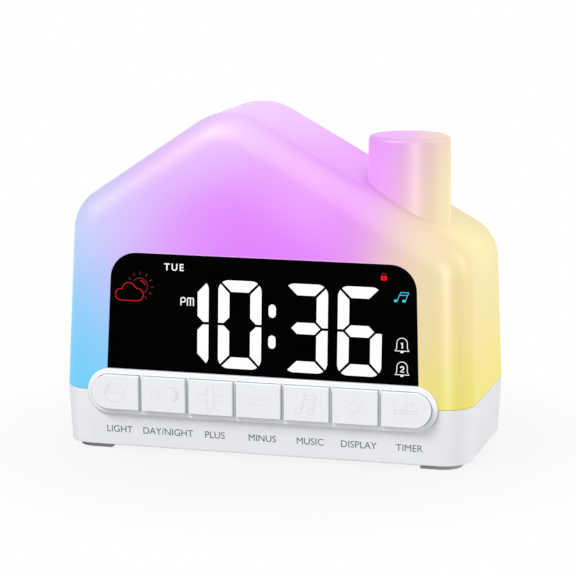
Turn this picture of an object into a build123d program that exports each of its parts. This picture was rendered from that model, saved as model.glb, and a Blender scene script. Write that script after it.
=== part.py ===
from build123d import *
import os
from math import cos, radians, sin, sqrt, tan

# House-shaped night light alarm clock. A translucent gable house glows on a white base; a black clock
# display and a bar of seven keys cross its front, and the chimney is a push button.
# The front faces -Y, +X is to the right of someone facing the clock, and the origin is on the table
# under the middle of the whole clock.

os.makedirs("parts", exist_ok=True)

# Body, measured on the seam where the diffuser stands on the base
body_width = 160.0
body_depth = 75.5
corner_radius = 12.0
seam_gap = 0.3
overrun = 20.0

# Feet
foot_height = 2.0
foot_inset = 3.4
foot_length = 14.5
foot_width = 14.0

# Base housing
base_height = 21.5
base_draft = 3.2
base_wall = 2.4
base_floor = 2.4
base_edge = 0.4
lap_height = 2.5
lap_skin = 1.2
lap_clearance = 0.15

# Diffuser shell, with rises counted from the seam
side_draft = 2.1
face_draft = 2.5
shell_wall = 2.2
left_eave_rise = 69.4
right_eave_rise = 57.5
apex_rise = 110.6
apex_shift = -16.8
left_eave_radius = 18.0
right_eave_radius = 16.5
apex_radius = 24.0

# Case screws, their pillars in the base and their bosses in the diffuser
pillar_inset_x = 11.5
pillar_inset_y = 10.75
pillar_radius = 5.0
boss_radius = 4.0
boss_height = 10.0
boss_rib = 1.6
case_head_radius = 2.7
case_head_height = 2.0
case_shank_radius = 1.45
case_head_sink = 12.0
case_bite = 8.0
screw_clearance = 0.2
pilot_clearance = 0.05
pilot_spare = 1.0

# Small screws of the boards and the chimney bridge
small_head_radius = 1.9
small_head_height = 1.4
small_shank_radius = 0.95
small_bite = 5.0

# Key bezel, a stadium bar across the seam
bar_end_margin = 11.6
bar_height = 17.5
bar_lift = 0.0
bar_proud = 1.0
bar_round = 0.4
bar_fit = 0.15
rim_width = 1.9
flange_lip = 1.5
flange_thickness = 1.2
flange_room = 0.3

# Keys
key_names = ["dimmer", "day_night", "plus", "minus", "sound", "brightness", "sleep"]
key_pitch_share = 0.1413
key_spacing = 1.5
key_clearance = 0.25
key_proud = 1.7
key_edge = 0.2
key_lip = 0.9
key_lip_inset = 1.5
key_lip_thickness = 1.0
key_play = 0.1
key_travel = 0.5
plunger_length = 1.0
plunger_radius = 1.6

# Push switches under the keys
switch_size = 6.0
switch_height = 3.1
stem_radius = 1.7
stem_proud = 1.2
stem_sunk = 0.6
stem_clearance = 0.1

# Circuit boards
board_thickness = 1.6
board_corner = 2.0

# Key board, held by heat-staked pins of the bezel
key_board_margin = 6.0
stake_radius = 1.2
stake_room = 0.25
pin_radius = 0.7
pin_clearance = 0.1
pin_head_radius = 1.25
pin_head_height = 0.6

# Display lens, with its margin to the body's side on the seam line
lens_margin = 18.9
lens_rise = 53.4
lens_corner = 10.0
lens_thickness = 1.4
lens_fit = 0.15
lens_ledge = 1.5

# Display board, its bosses in the diffuser, and the digit block
display_board_edge = 3.6
display_board_over = 3.0
display_boss_radius = 2.6
display_boss_offset = 2.3
display_boss_drop = 4.5
block_side_margin = 5.1
block_top_margin = 6.15
block_depth = 6.5
block_gap = 0.3
digit_side_margin = 13.7
digit_end_margin = 0.95
digit_gap = 3.2
digit_colon_gap = 8.2
digit_shift = 4.65
segment_width = 4.6
segment_gap = 0.35
segment_depth = 3.0
colon_spread = 11.7
colon_height = 5.2
colon_width = 3.3

# Main board on its posts
main_board_left_gap = 32.0
main_board_front_gap = 15.75
main_board_speaker_gap = 1.5
main_board_rear_gap = 5.75
main_post_height = 5.6
main_post_inset_y = 10.0
post_radius = 3.0
post_inset = 4.0
chip_size = 10.0
chip_height = 1.4

# Power inlet in the rear wall
inlet_inset = 6.0
inlet_width = 8.94
inlet_height = 3.26
inlet_depth = 7.35
inlet_shell = 0.3
inlet_back = 0.8
inlet_recess = 0.8
inlet_clearance = 0.3
tongue_width = 6.7
tongue_height = 0.7
tongue_back = 1.0

# Rear setting keys
rear_key_names = ["clock_set", "alarm_one", "alarm_two"]
rear_key_pitch = 12.0
rear_key_length = 9.0
rear_key_height = 5.0
rear_key_proud = 0.5
rear_switch_depth = 3.5

# Light board on tall posts
light_board_z = 32.0
light_post_inset = 13.0
light_post_front_inset = 24.5
light_post_rear_inset = 21.0
lamp_size = 5.0
lamp_height = 1.6
lamp_columns = 3
lamp_rows = 2

# Speaker, facing down through slots in the floor
speaker_inset = 36.0
speaker_y = 2.0
speaker_radius = 18.0
speaker_rim = 2.0
speaker_rim_height = 1.4
speaker_basket_height = 7.0
speaker_basket_wall = 0.8
speaker_room = 0.2
speaker_ring_wall = 1.4
speaker_ring_height = 4.0
cone_gap = 0.3
cone_thickness = 0.5
magnet_radius = 9.0
magnet_height = 5.0
slot_width = 2.0
slot_pitch = 3.9

# Backup cell, its well in the floor and the door
well_shift = -8.0
well_y = 3.0
well_length = 40.0
well_width = 26.0
well_height = 4.6
well_roof = 1.2
cell_radius = 10.0
cell_thickness = 3.2
cell_clearance = 0.5
cell_shift = -5.0
contact_thickness = 0.3
contact_width = 5.0
door_head_height = 1.0
door_thickness = 1.6
door_clearance = 0.2
door_corner = 3.0
door_screw_inset = 6.5

# Chimney button, its collar in the diffuser and the bridge below
chimney_inset = 30.4
chimney_y = -5.4
chimney_height = 40.6
chimney_radius = 15.85
chimney_draft = 0.6
chimney_wall = 2.0
chimney_edge = 1.8
chimney_fit = 0.3
chimney_travel = 1.0
spider_height = 4.0
spoke_width = 2.0
hub_radius = 3.5
chimney_plunger_radius = 1.6
chimney_plunger_length = 2.2
chimney_switch_height = 4.0
chimney_stem_proud = 1.8
lug_width = 3.6
lug_height = 2.0
lug_reach = 1.2
lug_play = 0.1
lug_room = 0.3
collar_wall = 1.6
collar_drop = 5.0
bridge_width = 9.0
bridge_thickness = 2.4
ear_radius = 2.8
ear_offset = 1.4
ear_height = 10.0

# Ribbons between the boards, and round leads of the speaker and the chimney switch
ribbon_thickness = 0.3
ribbon_width = 14.0
ribbon_bend = 3.0
ribbon_step = 4.0
ribbon_landing = 2.0
ribbon_inset = 16.25
lead_radius = 0.6
lead_spacing = 3.0
lead_bend = 1.5
lead_rise = 3.0
lead_drop_bend = 8.0

# Sizes and places worked out from the sizes above
bar_length = body_width - 2 * bar_end_margin
lens_width = body_width - 2 * lens_margin
chimney_x = body_width / 2 - chimney_inset
chimney_rise = right_eave_rise + chimney_height
collar_rise = right_eave_rise - collar_drop
speaker_x = body_width / 2 - speaker_inset
seam_z = foot_height + base_height
floor_z = foot_height + base_floor
body_y = (bar_proud + key_proud - rear_key_proud) / 2
front_y = body_y - body_depth / 2
rear_y = body_y + body_depth / 2
bar_z = seam_z + bar_lift
base_lean = tan(radians(base_draft))
side_lean = tan(radians(side_draft))
face_lean = tan(radians(face_draft))

# Sketch planes: the gable seen from the front, the end seen from the right, the leaning front face and
# the upright plane of the key bar
gable_plane = Plane(origin=(0, body_y, seam_z), x_dir=(1, 0, 0), z_dir=(0, -1, 0))
end_plane = Plane(origin=(0, body_y, seam_z), x_dir=(0, 1, 0), z_dir=(1, 0, 0))
face_plane = Plane(
    origin=(0, front_y, seam_z),
    x_dir=(1, 0, 0),
    z_dir=(0, -cos(radians(face_draft)), sin(radians(face_draft))),
)
bar_plane = Plane(origin=(0, front_y, bar_z), x_dir=(1, 0, 0), z_dir=(0, -1, 0))


def level(height):
    """A level sketch plane at a height above the table, centred on the body."""
    return Plane(origin=(0, body_y, height))


def corners(spread_x, spread_y, shift_x=0, shift_y=0):
    """The four corner places of a rectangle."""
    return [
        (shift_x + x * spread_x / 2, shift_y + y * spread_y / 2)
        for x in (-1, 1)
        for y in (-1, 1)
    ]


def finish(builder, name):
    """Label a finished piece and write it out."""
    builder.part.label = name
    export_step(builder.part, f"parts/{name}.step")


def house(inset, bottom):
    """The gable house with every wall and roof face moved in by inset, cut flat at a rise of bottom."""
    half_width = body_width / 2
    half_depth = body_depth / 2 - inset / cos(radians(face_draft))
    top = apex_rise + overrun
    with BuildPart() as body:
        with BuildSketch(gable_plane):
            with BuildLine():
                roof_line = FilletPolyline(
                    (-half_width - overrun * side_lean, -overrun),
                    (-half_width + left_eave_rise * side_lean, left_eave_rise),
                    (apex_shift, apex_rise),
                    (half_width - right_eave_rise * side_lean, right_eave_rise),
                    (half_width + overrun * side_lean, -overrun),
                    radius=[left_eave_radius, apex_radius, right_eave_radius],
                )
                Line(roof_line @ 1, roof_line @ 0)
            make_face()
            if inset:
                offset(amount=-inset)
        extrude(amount=body_depth, both=True)
        with BuildSketch(end_plane):
            with BuildLine():
                Polyline(
                    (-half_depth + bottom * face_lean, bottom),
                    (half_depth - bottom * face_lean, bottom),
                    (half_depth - top * face_lean, top),
                    (-half_depth + top * face_lean, top),
                    close=True,
                )
            make_face()
        extrude(amount=body_width, both=True, mode=Mode.INTERSECT)
        ends = body.faces().sort_by(Axis.Y)
        rims = ends[0].edges().sort_by(Axis.Z)[1:] + ends[-1].edges().sort_by(Axis.Z)[1:]
        fillet(rims, radius=corner_radius - inset)
    return body.part


def lens_outline(margin):
    """The display outline grown by margin, running on below the bar, flat on the ground plane."""
    rise = lens_rise / cos(radians(face_draft)) + margin
    half_width = lens_width / 2 + margin
    with BuildSketch() as outline:
        with BuildLine():
            edge = FilletPolyline(
                (-half_width - overrun * side_lean, -overrun),
                (-half_width + rise * side_lean, rise),
                (half_width - rise * side_lean, rise),
                (half_width + overrun * side_lean, -overrun),
                radius=[lens_corner + margin, lens_corner + margin],
            )
            Line(edge @ 1, edge @ 0)
        make_face()
    return outline.sketch


# Key places along the bar: edges between neighbours lie on the pitch, and the longer end keys run to the
# round ends
key_height = bar_height - 2 * rim_width - 2 * key_clearance
key_row_length = bar_length - 2 * rim_width - 2 * key_clearance
key_count = len(key_names)
key_pitch = key_row_length * key_pitch_share
key_edges = [(i + 1 - key_count / 2) * key_pitch for i in range(key_count - 1)]
key_lefts = [-key_row_length / 2] + [edge + key_spacing / 2 for edge in key_edges]
key_rights = [edge - key_spacing / 2 for edge in key_edges] + [key_row_length / 2]
key_centers = [(i - (key_count - 1) / 2) * key_pitch for i in range(key_count)]
bar_top = bar_lift + bar_height / 2
bar_seat = lens_thickness + lens_fit + (bar_top + flange_lip) * face_lean
bezel_back = bar_seat + flange_thickness
key_lip_front = bezel_back + key_play
plunger_start = key_lip_front + key_lip_thickness
stem_front = plunger_start + plunger_length
switch_front = stem_front + stem_proud
key_board_front = switch_front + switch_height
stake_rise = key_height / 2 + key_lip + stake_room + stake_radius
stake_places = corners(key_edges[-1] - key_edges[0], 2 * stake_rise)


def key_outline(index, grow):
    """One key's outline on the bar plane, grown all round; the end keys take the bar's round ends."""
    SlotOverall(key_row_length + 2 * grow, key_height + 2 * grow)
    left = key_lefts[index] - grow
    right = key_rights[index] + grow
    with Locations(((left + right) / 2, 0)):
        Rectangle(right - left, key_height + 2 * grow, mode=Mode.INTERSECT)


# Places of the case screws, in from the body's corners
pillar_places = corners(body_width - 2 * pillar_inset_x, body_depth - 2 * pillar_inset_y)
case_head_z = foot_height + case_head_sink
pillar_top = seam_z + seam_gap

# Display stack behind the lens, counted inwards from the front face
block_front = shell_wall + block_gap
display_board_front = block_front + block_depth
display_board_back = display_board_front + board_thickness
display_stack_sag = display_board_back * sin(radians(face_draft))
block_rise = (bar_top + flange_lip + block_gap + display_stack_sag) / cos(radians(face_draft))
block_width = lens_width - 2 * block_side_margin
block_height = lens_rise - block_top_margin - block_rise
display_board_height = block_height + display_board_over
display_boss_spread = lens_width + 2 * display_boss_offset
display_board_width = display_boss_spread + 2 * display_board_edge
display_boss_span = display_board_height - 2 * display_boss_drop
display_boss_rise = block_rise + display_board_height / 2
display_boss_places = corners(display_boss_spread, display_boss_span, 0, display_boss_rise)

# Boards and posts in the base
main_board_z = floor_z + main_post_height
main_board_top = main_board_z + board_thickness
main_board_left = main_board_left_gap - body_width / 2
main_board_right = speaker_x - speaker_radius - main_board_speaker_gap
main_board_length = main_board_right - main_board_left
main_board_width = body_depth - main_board_front_gap - main_board_rear_gap
main_board_shift_x = main_board_left + main_board_length / 2
main_board_shift_y = (main_board_front_gap - main_board_rear_gap) / 2
main_post_places = corners(
    main_board_length - 2 * post_inset,
    main_board_width - 2 * main_post_inset_y,
    main_board_shift_x,
    main_board_shift_y,
)
light_post_spread = body_width - 2 * light_post_inset
light_post_span = body_depth - light_post_front_inset - light_post_rear_inset
light_board_shift = (light_post_front_inset - light_post_rear_inset) / 2
light_board_length = light_post_spread + 2 * post_inset
light_board_width = light_post_span + 2 * post_inset
light_post_places = corners(light_post_spread, light_post_span, 0, light_board_shift)

# Chimney stack, counted up from the table
collar_z = seam_z + collar_rise
collar_bore = chimney_radius + chimney_fit
collar_radius = collar_bore + collar_wall
ear_x = collar_radius + ear_offset
ear_places = [(chimney_x - ear_x, chimney_y), (chimney_x + ear_x, chimney_y)]
chimney_stem_bottom = collar_z + chimney_switch_height
chimney_stem_top = chimney_stem_bottom + chimney_stem_proud
button_z = chimney_stem_top + chimney_plunger_length
button_height = seam_z + chimney_rise - button_z

# Rear wall places at the height of the rear keys and the inlet
rear_row_z = main_board_top + switch_size / 2
inlet_z = main_board_top + inlet_height / 2
inlet_x = main_board_left + inlet_inset
rear_lip_bottom = rear_row_z - rear_key_height / 2 - key_lip
rear_lip_y = rear_y - base_wall - (seam_z - rear_lip_bottom) * base_lean - key_play
rear_stem_y = rear_lip_y - key_lip_thickness - plunger_length
rear_switch_y = rear_stem_y - stem_proud
inlet_mouth_y = rear_y - (seam_z - inlet_z) * base_lean - inlet_recess
rear_key_places = [
    ((i - (len(rear_key_names) - 1) / 2) * rear_key_pitch, 0) for i in range(len(rear_key_names))
]


def rear_plane(y, z):
    """An upright sketch plane facing the rear, where local x runs towards -X."""
    return Plane(origin=(0, y, z), x_dir=(-1, 0, 0), z_dir=(0, 1, 0))


lens_face = lens_outline(0)
lens_recess = lens_outline(lens_fit)
lens_window = lens_outline(-lens_ledge)

# Diffuser shell: hollow house with the collar, ears, bosses and ribs left standing in its cavity
shell_outer = house(0, seam_gap)
shell_inner = house(shell_wall, -overrun)

with BuildPart() as cavity:
    add(shell_inner)
    with BuildSketch(level(collar_z)):
        with Locations((chimney_x, chimney_y)):
            Circle(collar_radius)
    extrude(amount=chimney_rise, mode=Mode.SUBTRACT)
    with BuildSketch(level(collar_z)):
        with Locations(*ear_places):
            Circle(ear_radius)
    extrude(amount=ear_height, mode=Mode.SUBTRACT)
    with BuildSketch(level(seam_z)):
        with Locations(*pillar_places):
            Circle(boss_radius)
        for x, y in pillar_places:
            outward = 1 if x > 0 else -1
            with Locations((x + outward * pillar_inset_x / 2, y)):
                Rectangle(pillar_inset_x - shell_wall / 2, boss_rib)
    extrude(amount=boss_height + seam_gap, mode=Mode.SUBTRACT)
    with BuildSketch(face_plane.offset(-display_board_front)):
        with Locations(*display_boss_places):
            Circle(display_boss_radius)
    extrude(amount=display_board_front, mode=Mode.SUBTRACT)

with BuildPart() as diffuser_shell:
    add(shell_outer)
    add(cavity.part, mode=Mode.SUBTRACT)
    # Rabbet inside the lower edge, over the base's lap
    with BuildSketch(level(seam_z)):
        RectangleRounded(
            body_width - 2 * lap_skin,
            body_depth - 2 * lap_skin,
            corner_radius - lap_skin,
        )
        with Locations(*pillar_places):
            Circle(boss_radius, mode=Mode.SUBTRACT)
    extrude(amount=lap_height + seam_gap + lap_clearance, mode=Mode.SUBTRACT)
    # Opening for the key bezel, and a flat seat behind it
    with BuildSketch(bar_plane.offset(overrun)):
        SlotOverall(bar_length + 2 * bar_fit, bar_height + 2 * bar_fit)
    extrude(amount=-overrun - bezel_back, mode=Mode.SUBTRACT)
    with BuildSketch(bar_plane.offset(-bar_seat)):
        SlotOverall(
            bar_length + 2 * flange_lip + 2 * flange_room,
            bar_height + 2 * flange_lip + 2 * flange_room,
        )
    extrude(amount=-flange_thickness - flange_room, mode=Mode.SUBTRACT)
    # Window: the lens lies in a recess on a narrow ledge
    with BuildSketch(face_plane.offset(overrun)):
        add(lens_recess)
    extrude(amount=-overrun - lens_thickness, mode=Mode.SUBTRACT)
    with BuildSketch(face_plane):
        add(lens_window)
    extrude(amount=-shell_wall - lens_fit, mode=Mode.SUBTRACT)
    # Bore of the collar, with a slot at the front and back for the button's lugs
    with BuildSketch(level(collar_z)):
        with Locations((chimney_x, chimney_y)):
            Circle(collar_bore)
    extrude(amount=chimney_rise, mode=Mode.SUBTRACT)
    with BuildSketch(level(button_z - chimney_travel - lug_room)):
        with Locations((chimney_x, chimney_y)):
            Rectangle(lug_width + 2 * lug_room, 2 * collar_radius + lug_reach)
    extrude(amount=lug_height + chimney_travel + lug_room + lug_play, mode=Mode.SUBTRACT)
    # Pilot holes
    with BuildSketch(level(seam_z)):
        with Locations(*pillar_places):
            Circle(case_shank_radius + pilot_clearance)
    extrude(amount=seam_gap + case_bite + pilot_spare, mode=Mode.SUBTRACT)
    with BuildSketch(level(collar_z)):
        with Locations(*ear_places):
            Circle(small_shank_radius + pilot_clearance)
    extrude(amount=small_bite + pilot_spare, mode=Mode.SUBTRACT)
    with BuildSketch(face_plane.offset(-display_board_front)):
        with Locations(*display_boss_places):
            Circle(small_shank_radius + pilot_clearance)
    extrude(amount=small_bite + pilot_spare, mode=Mode.SUBTRACT)
finish(diffuser_shell, "diffuser_shell")

with BuildPart() as display_lens:
    with BuildSketch(face_plane):
        add(lens_face)
    extrude(amount=-lens_thickness)
    with BuildSketch(bar_plane.offset(overrun)):
        with Locations((0, bar_height / 2 + bar_fit)):
            Rectangle(bar_length, 2 * overrun + bar_height, align=(Align.CENTER, Align.MAX))
    extrude(amount=-2 * overrun, mode=Mode.SUBTRACT)
finish(display_lens, "display_lens")

# Base housing: drafted tub with the lap, pillars, posts, speaker ring and battery well inside
base_plane = Plane(origin=(0, body_y, seam_z), x_dir=(1, 0, 0), z_dir=(0, 0, -1))
bottom_inset = base_height * base_lean
well_x = main_board_shift_x + well_shift
cell_place = (well_x + cell_shift, well_y)
cell_z = foot_height + door_thickness
well_ceiling = floor_z + well_height - well_roof
door_screw_place = (well_x + well_length / 2 - door_screw_inset, well_y)
slot_reach = speaker_radius - speaker_rim - slot_width
slot_count = 2 * int((slot_reach - slot_width) / slot_pitch) + 1

with BuildPart() as base_housing:
    with BuildSketch(base_plane):
        RectangleRounded(body_width, body_depth, corner_radius)
    extrude(amount=base_height, taper=base_draft)
    fillet(base_housing.faces().sort_by(Axis.Z)[0].edges(), radius=base_edge)
    with BuildSketch(base_plane):
        RectangleRounded(
            body_width - 2 * base_wall,
            body_depth - 2 * base_wall,
            corner_radius - base_wall,
        )
    extrude(amount=base_height - base_floor, taper=base_draft, mode=Mode.SUBTRACT)
    # Lap that stands up inside the diffuser, left out behind the key bezel
    with BuildSketch(level(seam_z)):
        RectangleRounded(
            body_width - 2 * lap_skin - 2 * lap_clearance,
            body_depth - 2 * lap_skin - 2 * lap_clearance,
            corner_radius - lap_skin - lap_clearance,
        )
        RectangleRounded(
            body_width - 2 * base_wall,
            body_depth - 2 * base_wall,
            corner_radius - base_wall,
            mode=Mode.SUBTRACT,
        )
        with Locations((0, -body_depth / 2)):
            Rectangle(
                bar_length + 2 * flange_lip + 2 * flange_room,
                4 * base_wall,
                mode=Mode.SUBTRACT,
            )
    extrude(amount=lap_height)
    # Pillars of the case screws, posts of the boards, speaker ring and battery well
    with BuildSketch(level(floor_z)):
        with Locations(*pillar_places):
            Circle(pillar_radius)
    extrude(amount=pillar_top - floor_z)
    with BuildSketch(level(floor_z)):
        with Locations(*main_post_places):
            Circle(post_radius)
    extrude(amount=main_post_height)
    with BuildSketch(level(floor_z)):
        with Locations(*light_post_places):
            Circle(post_radius)
    extrude(amount=light_board_z - floor_z)
    with BuildSketch(level(floor_z)):
        with Locations((speaker_x, speaker_y)):
            Circle(speaker_radius + speaker_room + speaker_ring_wall)
            Circle(speaker_radius + speaker_room, mode=Mode.SUBTRACT)
    extrude(amount=speaker_ring_height)
    with BuildSketch(level(floor_z)):
        with Locations((well_x, well_y)):
            Rectangle(well_length, well_width)
    extrude(amount=well_height)
    # Opening and flat seat for the key bezel
    with BuildSketch(bar_plane.offset(overrun)):
        SlotOverall(bar_length + 2 * bar_fit, bar_height + 2 * bar_fit)
    extrude(amount=-overrun - bezel_back, mode=Mode.SUBTRACT)
    with BuildSketch(bar_plane.offset(-bar_seat)):
        SlotOverall(
            bar_length + 2 * flange_lip + 2 * flange_room,
            bar_height + 2 * flange_lip + 2 * flange_room,
        )
    extrude(amount=-flange_thickness - flange_room, mode=Mode.SUBTRACT)
    # Case screw holes, sunk deep from below
    with BuildSketch(level(foot_height)):
        with Locations(*pillar_places):
            Circle(case_head_radius + screw_clearance)
    extrude(amount=case_head_sink, mode=Mode.SUBTRACT)
    with BuildSketch(level(foot_height)):
        with Locations(*pillar_places):
            Circle(case_shank_radius + screw_clearance)
    extrude(amount=pillar_top - foot_height, mode=Mode.SUBTRACT)
    # Pilot holes in the posts
    with BuildSketch(level(main_board_z)):
        with Locations(*main_post_places):
            Circle(small_shank_radius + pilot_clearance)
    extrude(amount=-small_bite, mode=Mode.SUBTRACT)
    with BuildSketch(level(light_board_z)):
        with Locations(*light_post_places):
            Circle(small_shank_radius + pilot_clearance)
    extrude(amount=-small_bite - pilot_spare, mode=Mode.SUBTRACT)
    # Rear wall: setting keys and power inlet
    with BuildSketch(rear_plane(rear_y + overrun, rear_row_z)):
        with Locations(*rear_key_places):
            SlotOverall(rear_key_length + 2 * key_clearance, rear_key_height + 2 * key_clearance)
    extrude(amount=-overrun - base_wall - bottom_inset, mode=Mode.SUBTRACT)
    with BuildSketch(rear_plane(rear_y + overrun, inlet_z)):
        with Locations((-inlet_x, 0)):
            SlotOverall(inlet_width + 2 * inlet_clearance, inlet_height + 2 * inlet_clearance)
    extrude(amount=-overrun - base_wall - bottom_inset, mode=Mode.SUBTRACT)
    # Speaker slots in the floor
    with BuildSketch(level(foot_height)):
        for i in range(slot_count):
            slot_y = (i - (slot_count - 1) / 2) * slot_pitch
            with Locations((speaker_x, speaker_y + slot_y)):
                SlotOverall(2 * sqrt(slot_reach**2 - slot_y**2), slot_width)
    extrude(amount=base_floor, mode=Mode.SUBTRACT)
    # Battery well: recess for the door, pocket for the cell and its side contact, screw hole
    with BuildSketch(level(foot_height)):
        with Locations((well_x, well_y)):
            RectangleRounded(
                well_length + 2 * door_clearance,
                well_width + 2 * door_clearance,
                door_corner + door_clearance,
            )
    extrude(amount=door_thickness, mode=Mode.SUBTRACT)
    with BuildSketch(level(cell_z)):
        with Locations(cell_place):
            Circle(cell_radius + cell_clearance)
            Rectangle(
                cell_radius + cell_clearance + 2 * contact_thickness,
                contact_width + 2 * cell_clearance,
                align=(Align.MIN, Align.CENTER),
            )
    extrude(amount=well_ceiling - cell_z, mode=Mode.SUBTRACT)
    with BuildSketch(level(cell_z)):
        with Locations(door_screw_place):
            Circle(small_shank_radius + pilot_clearance)
    extrude(amount=small_bite, mode=Mode.SUBTRACT)
finish(base_housing, "base_housing")

with BuildPart() as feet:
    foot_ring_width = body_width - 2 * bottom_inset - 2 * foot_inset
    foot_ring_depth = body_depth - 2 * bottom_inset - 2 * foot_inset
    with BuildSketch(level(0)):
        RectangleRounded(
            foot_ring_width,
            foot_ring_depth,
            corner_radius - bottom_inset - foot_inset,
        )
        Rectangle(foot_ring_width - 2 * foot_length, foot_ring_depth, mode=Mode.SUBTRACT)
        Rectangle(foot_ring_width, foot_ring_depth - 2 * foot_width, mode=Mode.SUBTRACT)
    extrude(amount=foot_height)
finish(feet, "feet")

with BuildPart() as case_screws:
    with BuildSketch(level(case_head_z)):
        with Locations(*pillar_places):
            Circle(case_head_radius)
    extrude(amount=-case_head_height)
    with BuildSketch(level(case_head_z)):
        with Locations(*pillar_places):
            Circle(case_shank_radius)
    extrude(amount=pillar_top + case_bite - case_head_z)
finish(case_screws, "case_screws")

# Key bezel: the bar with its rounded rim and a window for each key, a flange behind the walls and the
# staked pins
with BuildPart() as key_bezel:
    with BuildSketch(bar_plane.offset(-bar_seat)):
        SlotOverall(bar_length, bar_height)
    extrude(amount=bar_seat + bar_proud)
    with BuildSketch(bar_plane.offset(-bezel_back)):
        SlotOverall(bar_length + 2 * flange_lip, bar_height + 2 * flange_lip)
    extrude(amount=flange_thickness)
    fillet(key_bezel.faces().sort_by(Axis.Y)[0].edges(), radius=bar_round)
    for i in range(key_count):
        with BuildSketch(bar_plane.offset(bar_proud)):
            key_outline(i, key_clearance)
        extrude(amount=-bar_proud - bezel_back, mode=Mode.SUBTRACT)
    with BuildSketch(bar_plane.offset(-bezel_back)):
        with Locations(*stake_places):
            Circle(stake_radius)
    extrude(amount=bezel_back - key_board_front)
    with BuildSketch(bar_plane.offset(-key_board_front)):
        with Locations(*stake_places):
            Circle(pin_radius)
    extrude(amount=-board_thickness)
    with BuildSketch(bar_plane.offset(-key_board_front - board_thickness)):
        with Locations(*stake_places):
            Circle(pin_head_radius)
    extrude(amount=-pin_head_height)
finish(key_bezel, "key_bezel")

# Seven keys, each with a lip behind the bezel, a plunger and the stem of its switch
for i, key_name in enumerate(key_names):
    with BuildPart() as key:
        with BuildSketch(bar_plane.offset(-key_lip_front)):
            key_outline(i, 0)
        extrude(amount=key_lip_front + bar_proud + key_proud)
        fillet(key.faces().sort_by(Axis.Y)[0].edges(), radius=key_edge)
        with BuildSketch(bar_plane.offset(-key_lip_front)):
            with Locations((key_centers[i], 0)):
                Rectangle(key_pitch - 2 * key_lip_inset, key_height + 2 * key_lip)
        extrude(amount=-key_lip_thickness)
        with BuildSketch(bar_plane.offset(-plunger_start)):
            with Locations((key_centers[i], 0)):
                Circle(plunger_radius)
        extrude(amount=-plunger_length)
    finish(key, f"{key_name}_key")
    with BuildPart() as stem:
        with BuildSketch(bar_plane.offset(-stem_front)):
            with Locations((key_centers[i], 0)):
                Circle(stem_radius)
        extrude(amount=-stem_proud - stem_sunk)
    finish(stem, f"{key_name}_stem")

with BuildPart() as key_switches:
    with BuildSketch(bar_plane.offset(-key_board_front)):
        with Locations(*[(x, 0) for x in key_centers]):
            Rectangle(switch_size, switch_size)
    extrude(amount=switch_height)
    with BuildSketch(bar_plane.offset(-switch_front)):
        with Locations(*[(x, 0) for x in key_centers]):
            Circle(stem_radius + stem_clearance)
    extrude(amount=-stem_sunk - key_travel - 2 * stem_clearance, mode=Mode.SUBTRACT)
finish(key_switches, "key_switches")

with BuildPart() as key_board:
    with BuildSketch(bar_plane.offset(-key_board_front)):
        RectangleRounded(
            bar_length - 2 * key_board_margin, bar_height + 2 * flange_lip, board_corner
        )
        with Locations(*stake_places):
            Circle(pin_radius + pin_clearance, mode=Mode.SUBTRACT)
    extrude(amount=-board_thickness)
finish(key_board, "key_board")

# Display: digit block with seven-segment pockets, the light segments in them, board and screws
digit_row = block_width - 2 * digit_side_margin
digit_width = (digit_row - 2 * digit_gap - digit_colon_gap) / 4
digit_pitch = digit_width + digit_gap
digit_pair_pitch = digit_width + digit_colon_gap
half_digit = digit_width / 2
half_tall = block_height / 2 - digit_end_margin
digit_rise = block_rise + block_height / 2
digit_centers = [
    digit_shift + side * (digit_pair_pitch / 2 + outer * digit_pitch)
    for side, outer in [(-1, 1), (-1, 0), (1, 0), (1, 1)]
]


def digit_segments():
    """The seven bars of one digit about its centre, mitred where they meet."""
    inner = half_digit - segment_width
    top_bar = [
        (-half_digit + segment_gap, half_tall),
        (half_digit - segment_gap, half_tall),
        (inner - segment_gap, half_tall - segment_width),
        (-inner + segment_gap, half_tall - segment_width),
    ]
    side_bar = [
        (half_digit, half_tall - segment_gap),
        (half_digit, segment_gap),
        (half_digit - segment_width / 2, segment_gap),
        (inner, segment_width / 2 + segment_gap),
        (inner, half_tall - segment_width - segment_gap),
    ]
    middle_bar = [
        (-half_digit + segment_width / 2 + segment_gap, 0),
        (-inner + segment_gap, segment_width / 2),
        (inner - segment_gap, segment_width / 2),
        (half_digit - segment_width / 2 - segment_gap, 0),
        (inner - segment_gap, -segment_width / 2),
        (-inner + segment_gap, -segment_width / 2),
    ]
    bars = [middle_bar]
    for flip in (-1, 1):
        bars.append([(x, flip * y) for x, y in top_bar])
        for side in (-1, 1):
            bars.append([(side * x, flip * y) for x, y in side_bar])
    return bars


with BuildSketch() as segment_faces:
    for center in digit_centers:
        for bar in digit_segments():
            with Locations((center, digit_rise)):
                Polygon(*bar, align=None)
    for side in (-1, 1):
        with Locations((digit_shift, digit_rise + side * colon_spread / 2)):
            Rectangle(colon_width, colon_height)

with BuildPart() as digit_block:
    with BuildSketch(face_plane.offset(-block_front)):
        with Locations((0, block_rise)):
            Rectangle(block_width, block_height, align=(Align.CENTER, Align.MIN))
    extrude(amount=-block_depth)
    with BuildSketch(face_plane.offset(-block_front)):
        add(segment_faces.sketch)
    extrude(amount=-segment_depth, mode=Mode.SUBTRACT)
finish(digit_block, "digit_block")

with BuildPart() as light_segments:
    with BuildSketch(face_plane.offset(-block_front)):
        add(segment_faces.sketch)
    extrude(amount=-segment_depth)
finish(light_segments, "light_segments")

with BuildPart() as display_board:
    with BuildSketch(face_plane.offset(-display_board_front)):
        with Locations((0, block_rise + display_board_height / 2)):
            RectangleRounded(display_board_width, display_board_height, board_corner)
        with Locations(*display_boss_places):
            Circle(small_shank_radius + screw_clearance, mode=Mode.SUBTRACT)
    extrude(amount=-board_thickness)
finish(display_board, "display_board")


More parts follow.
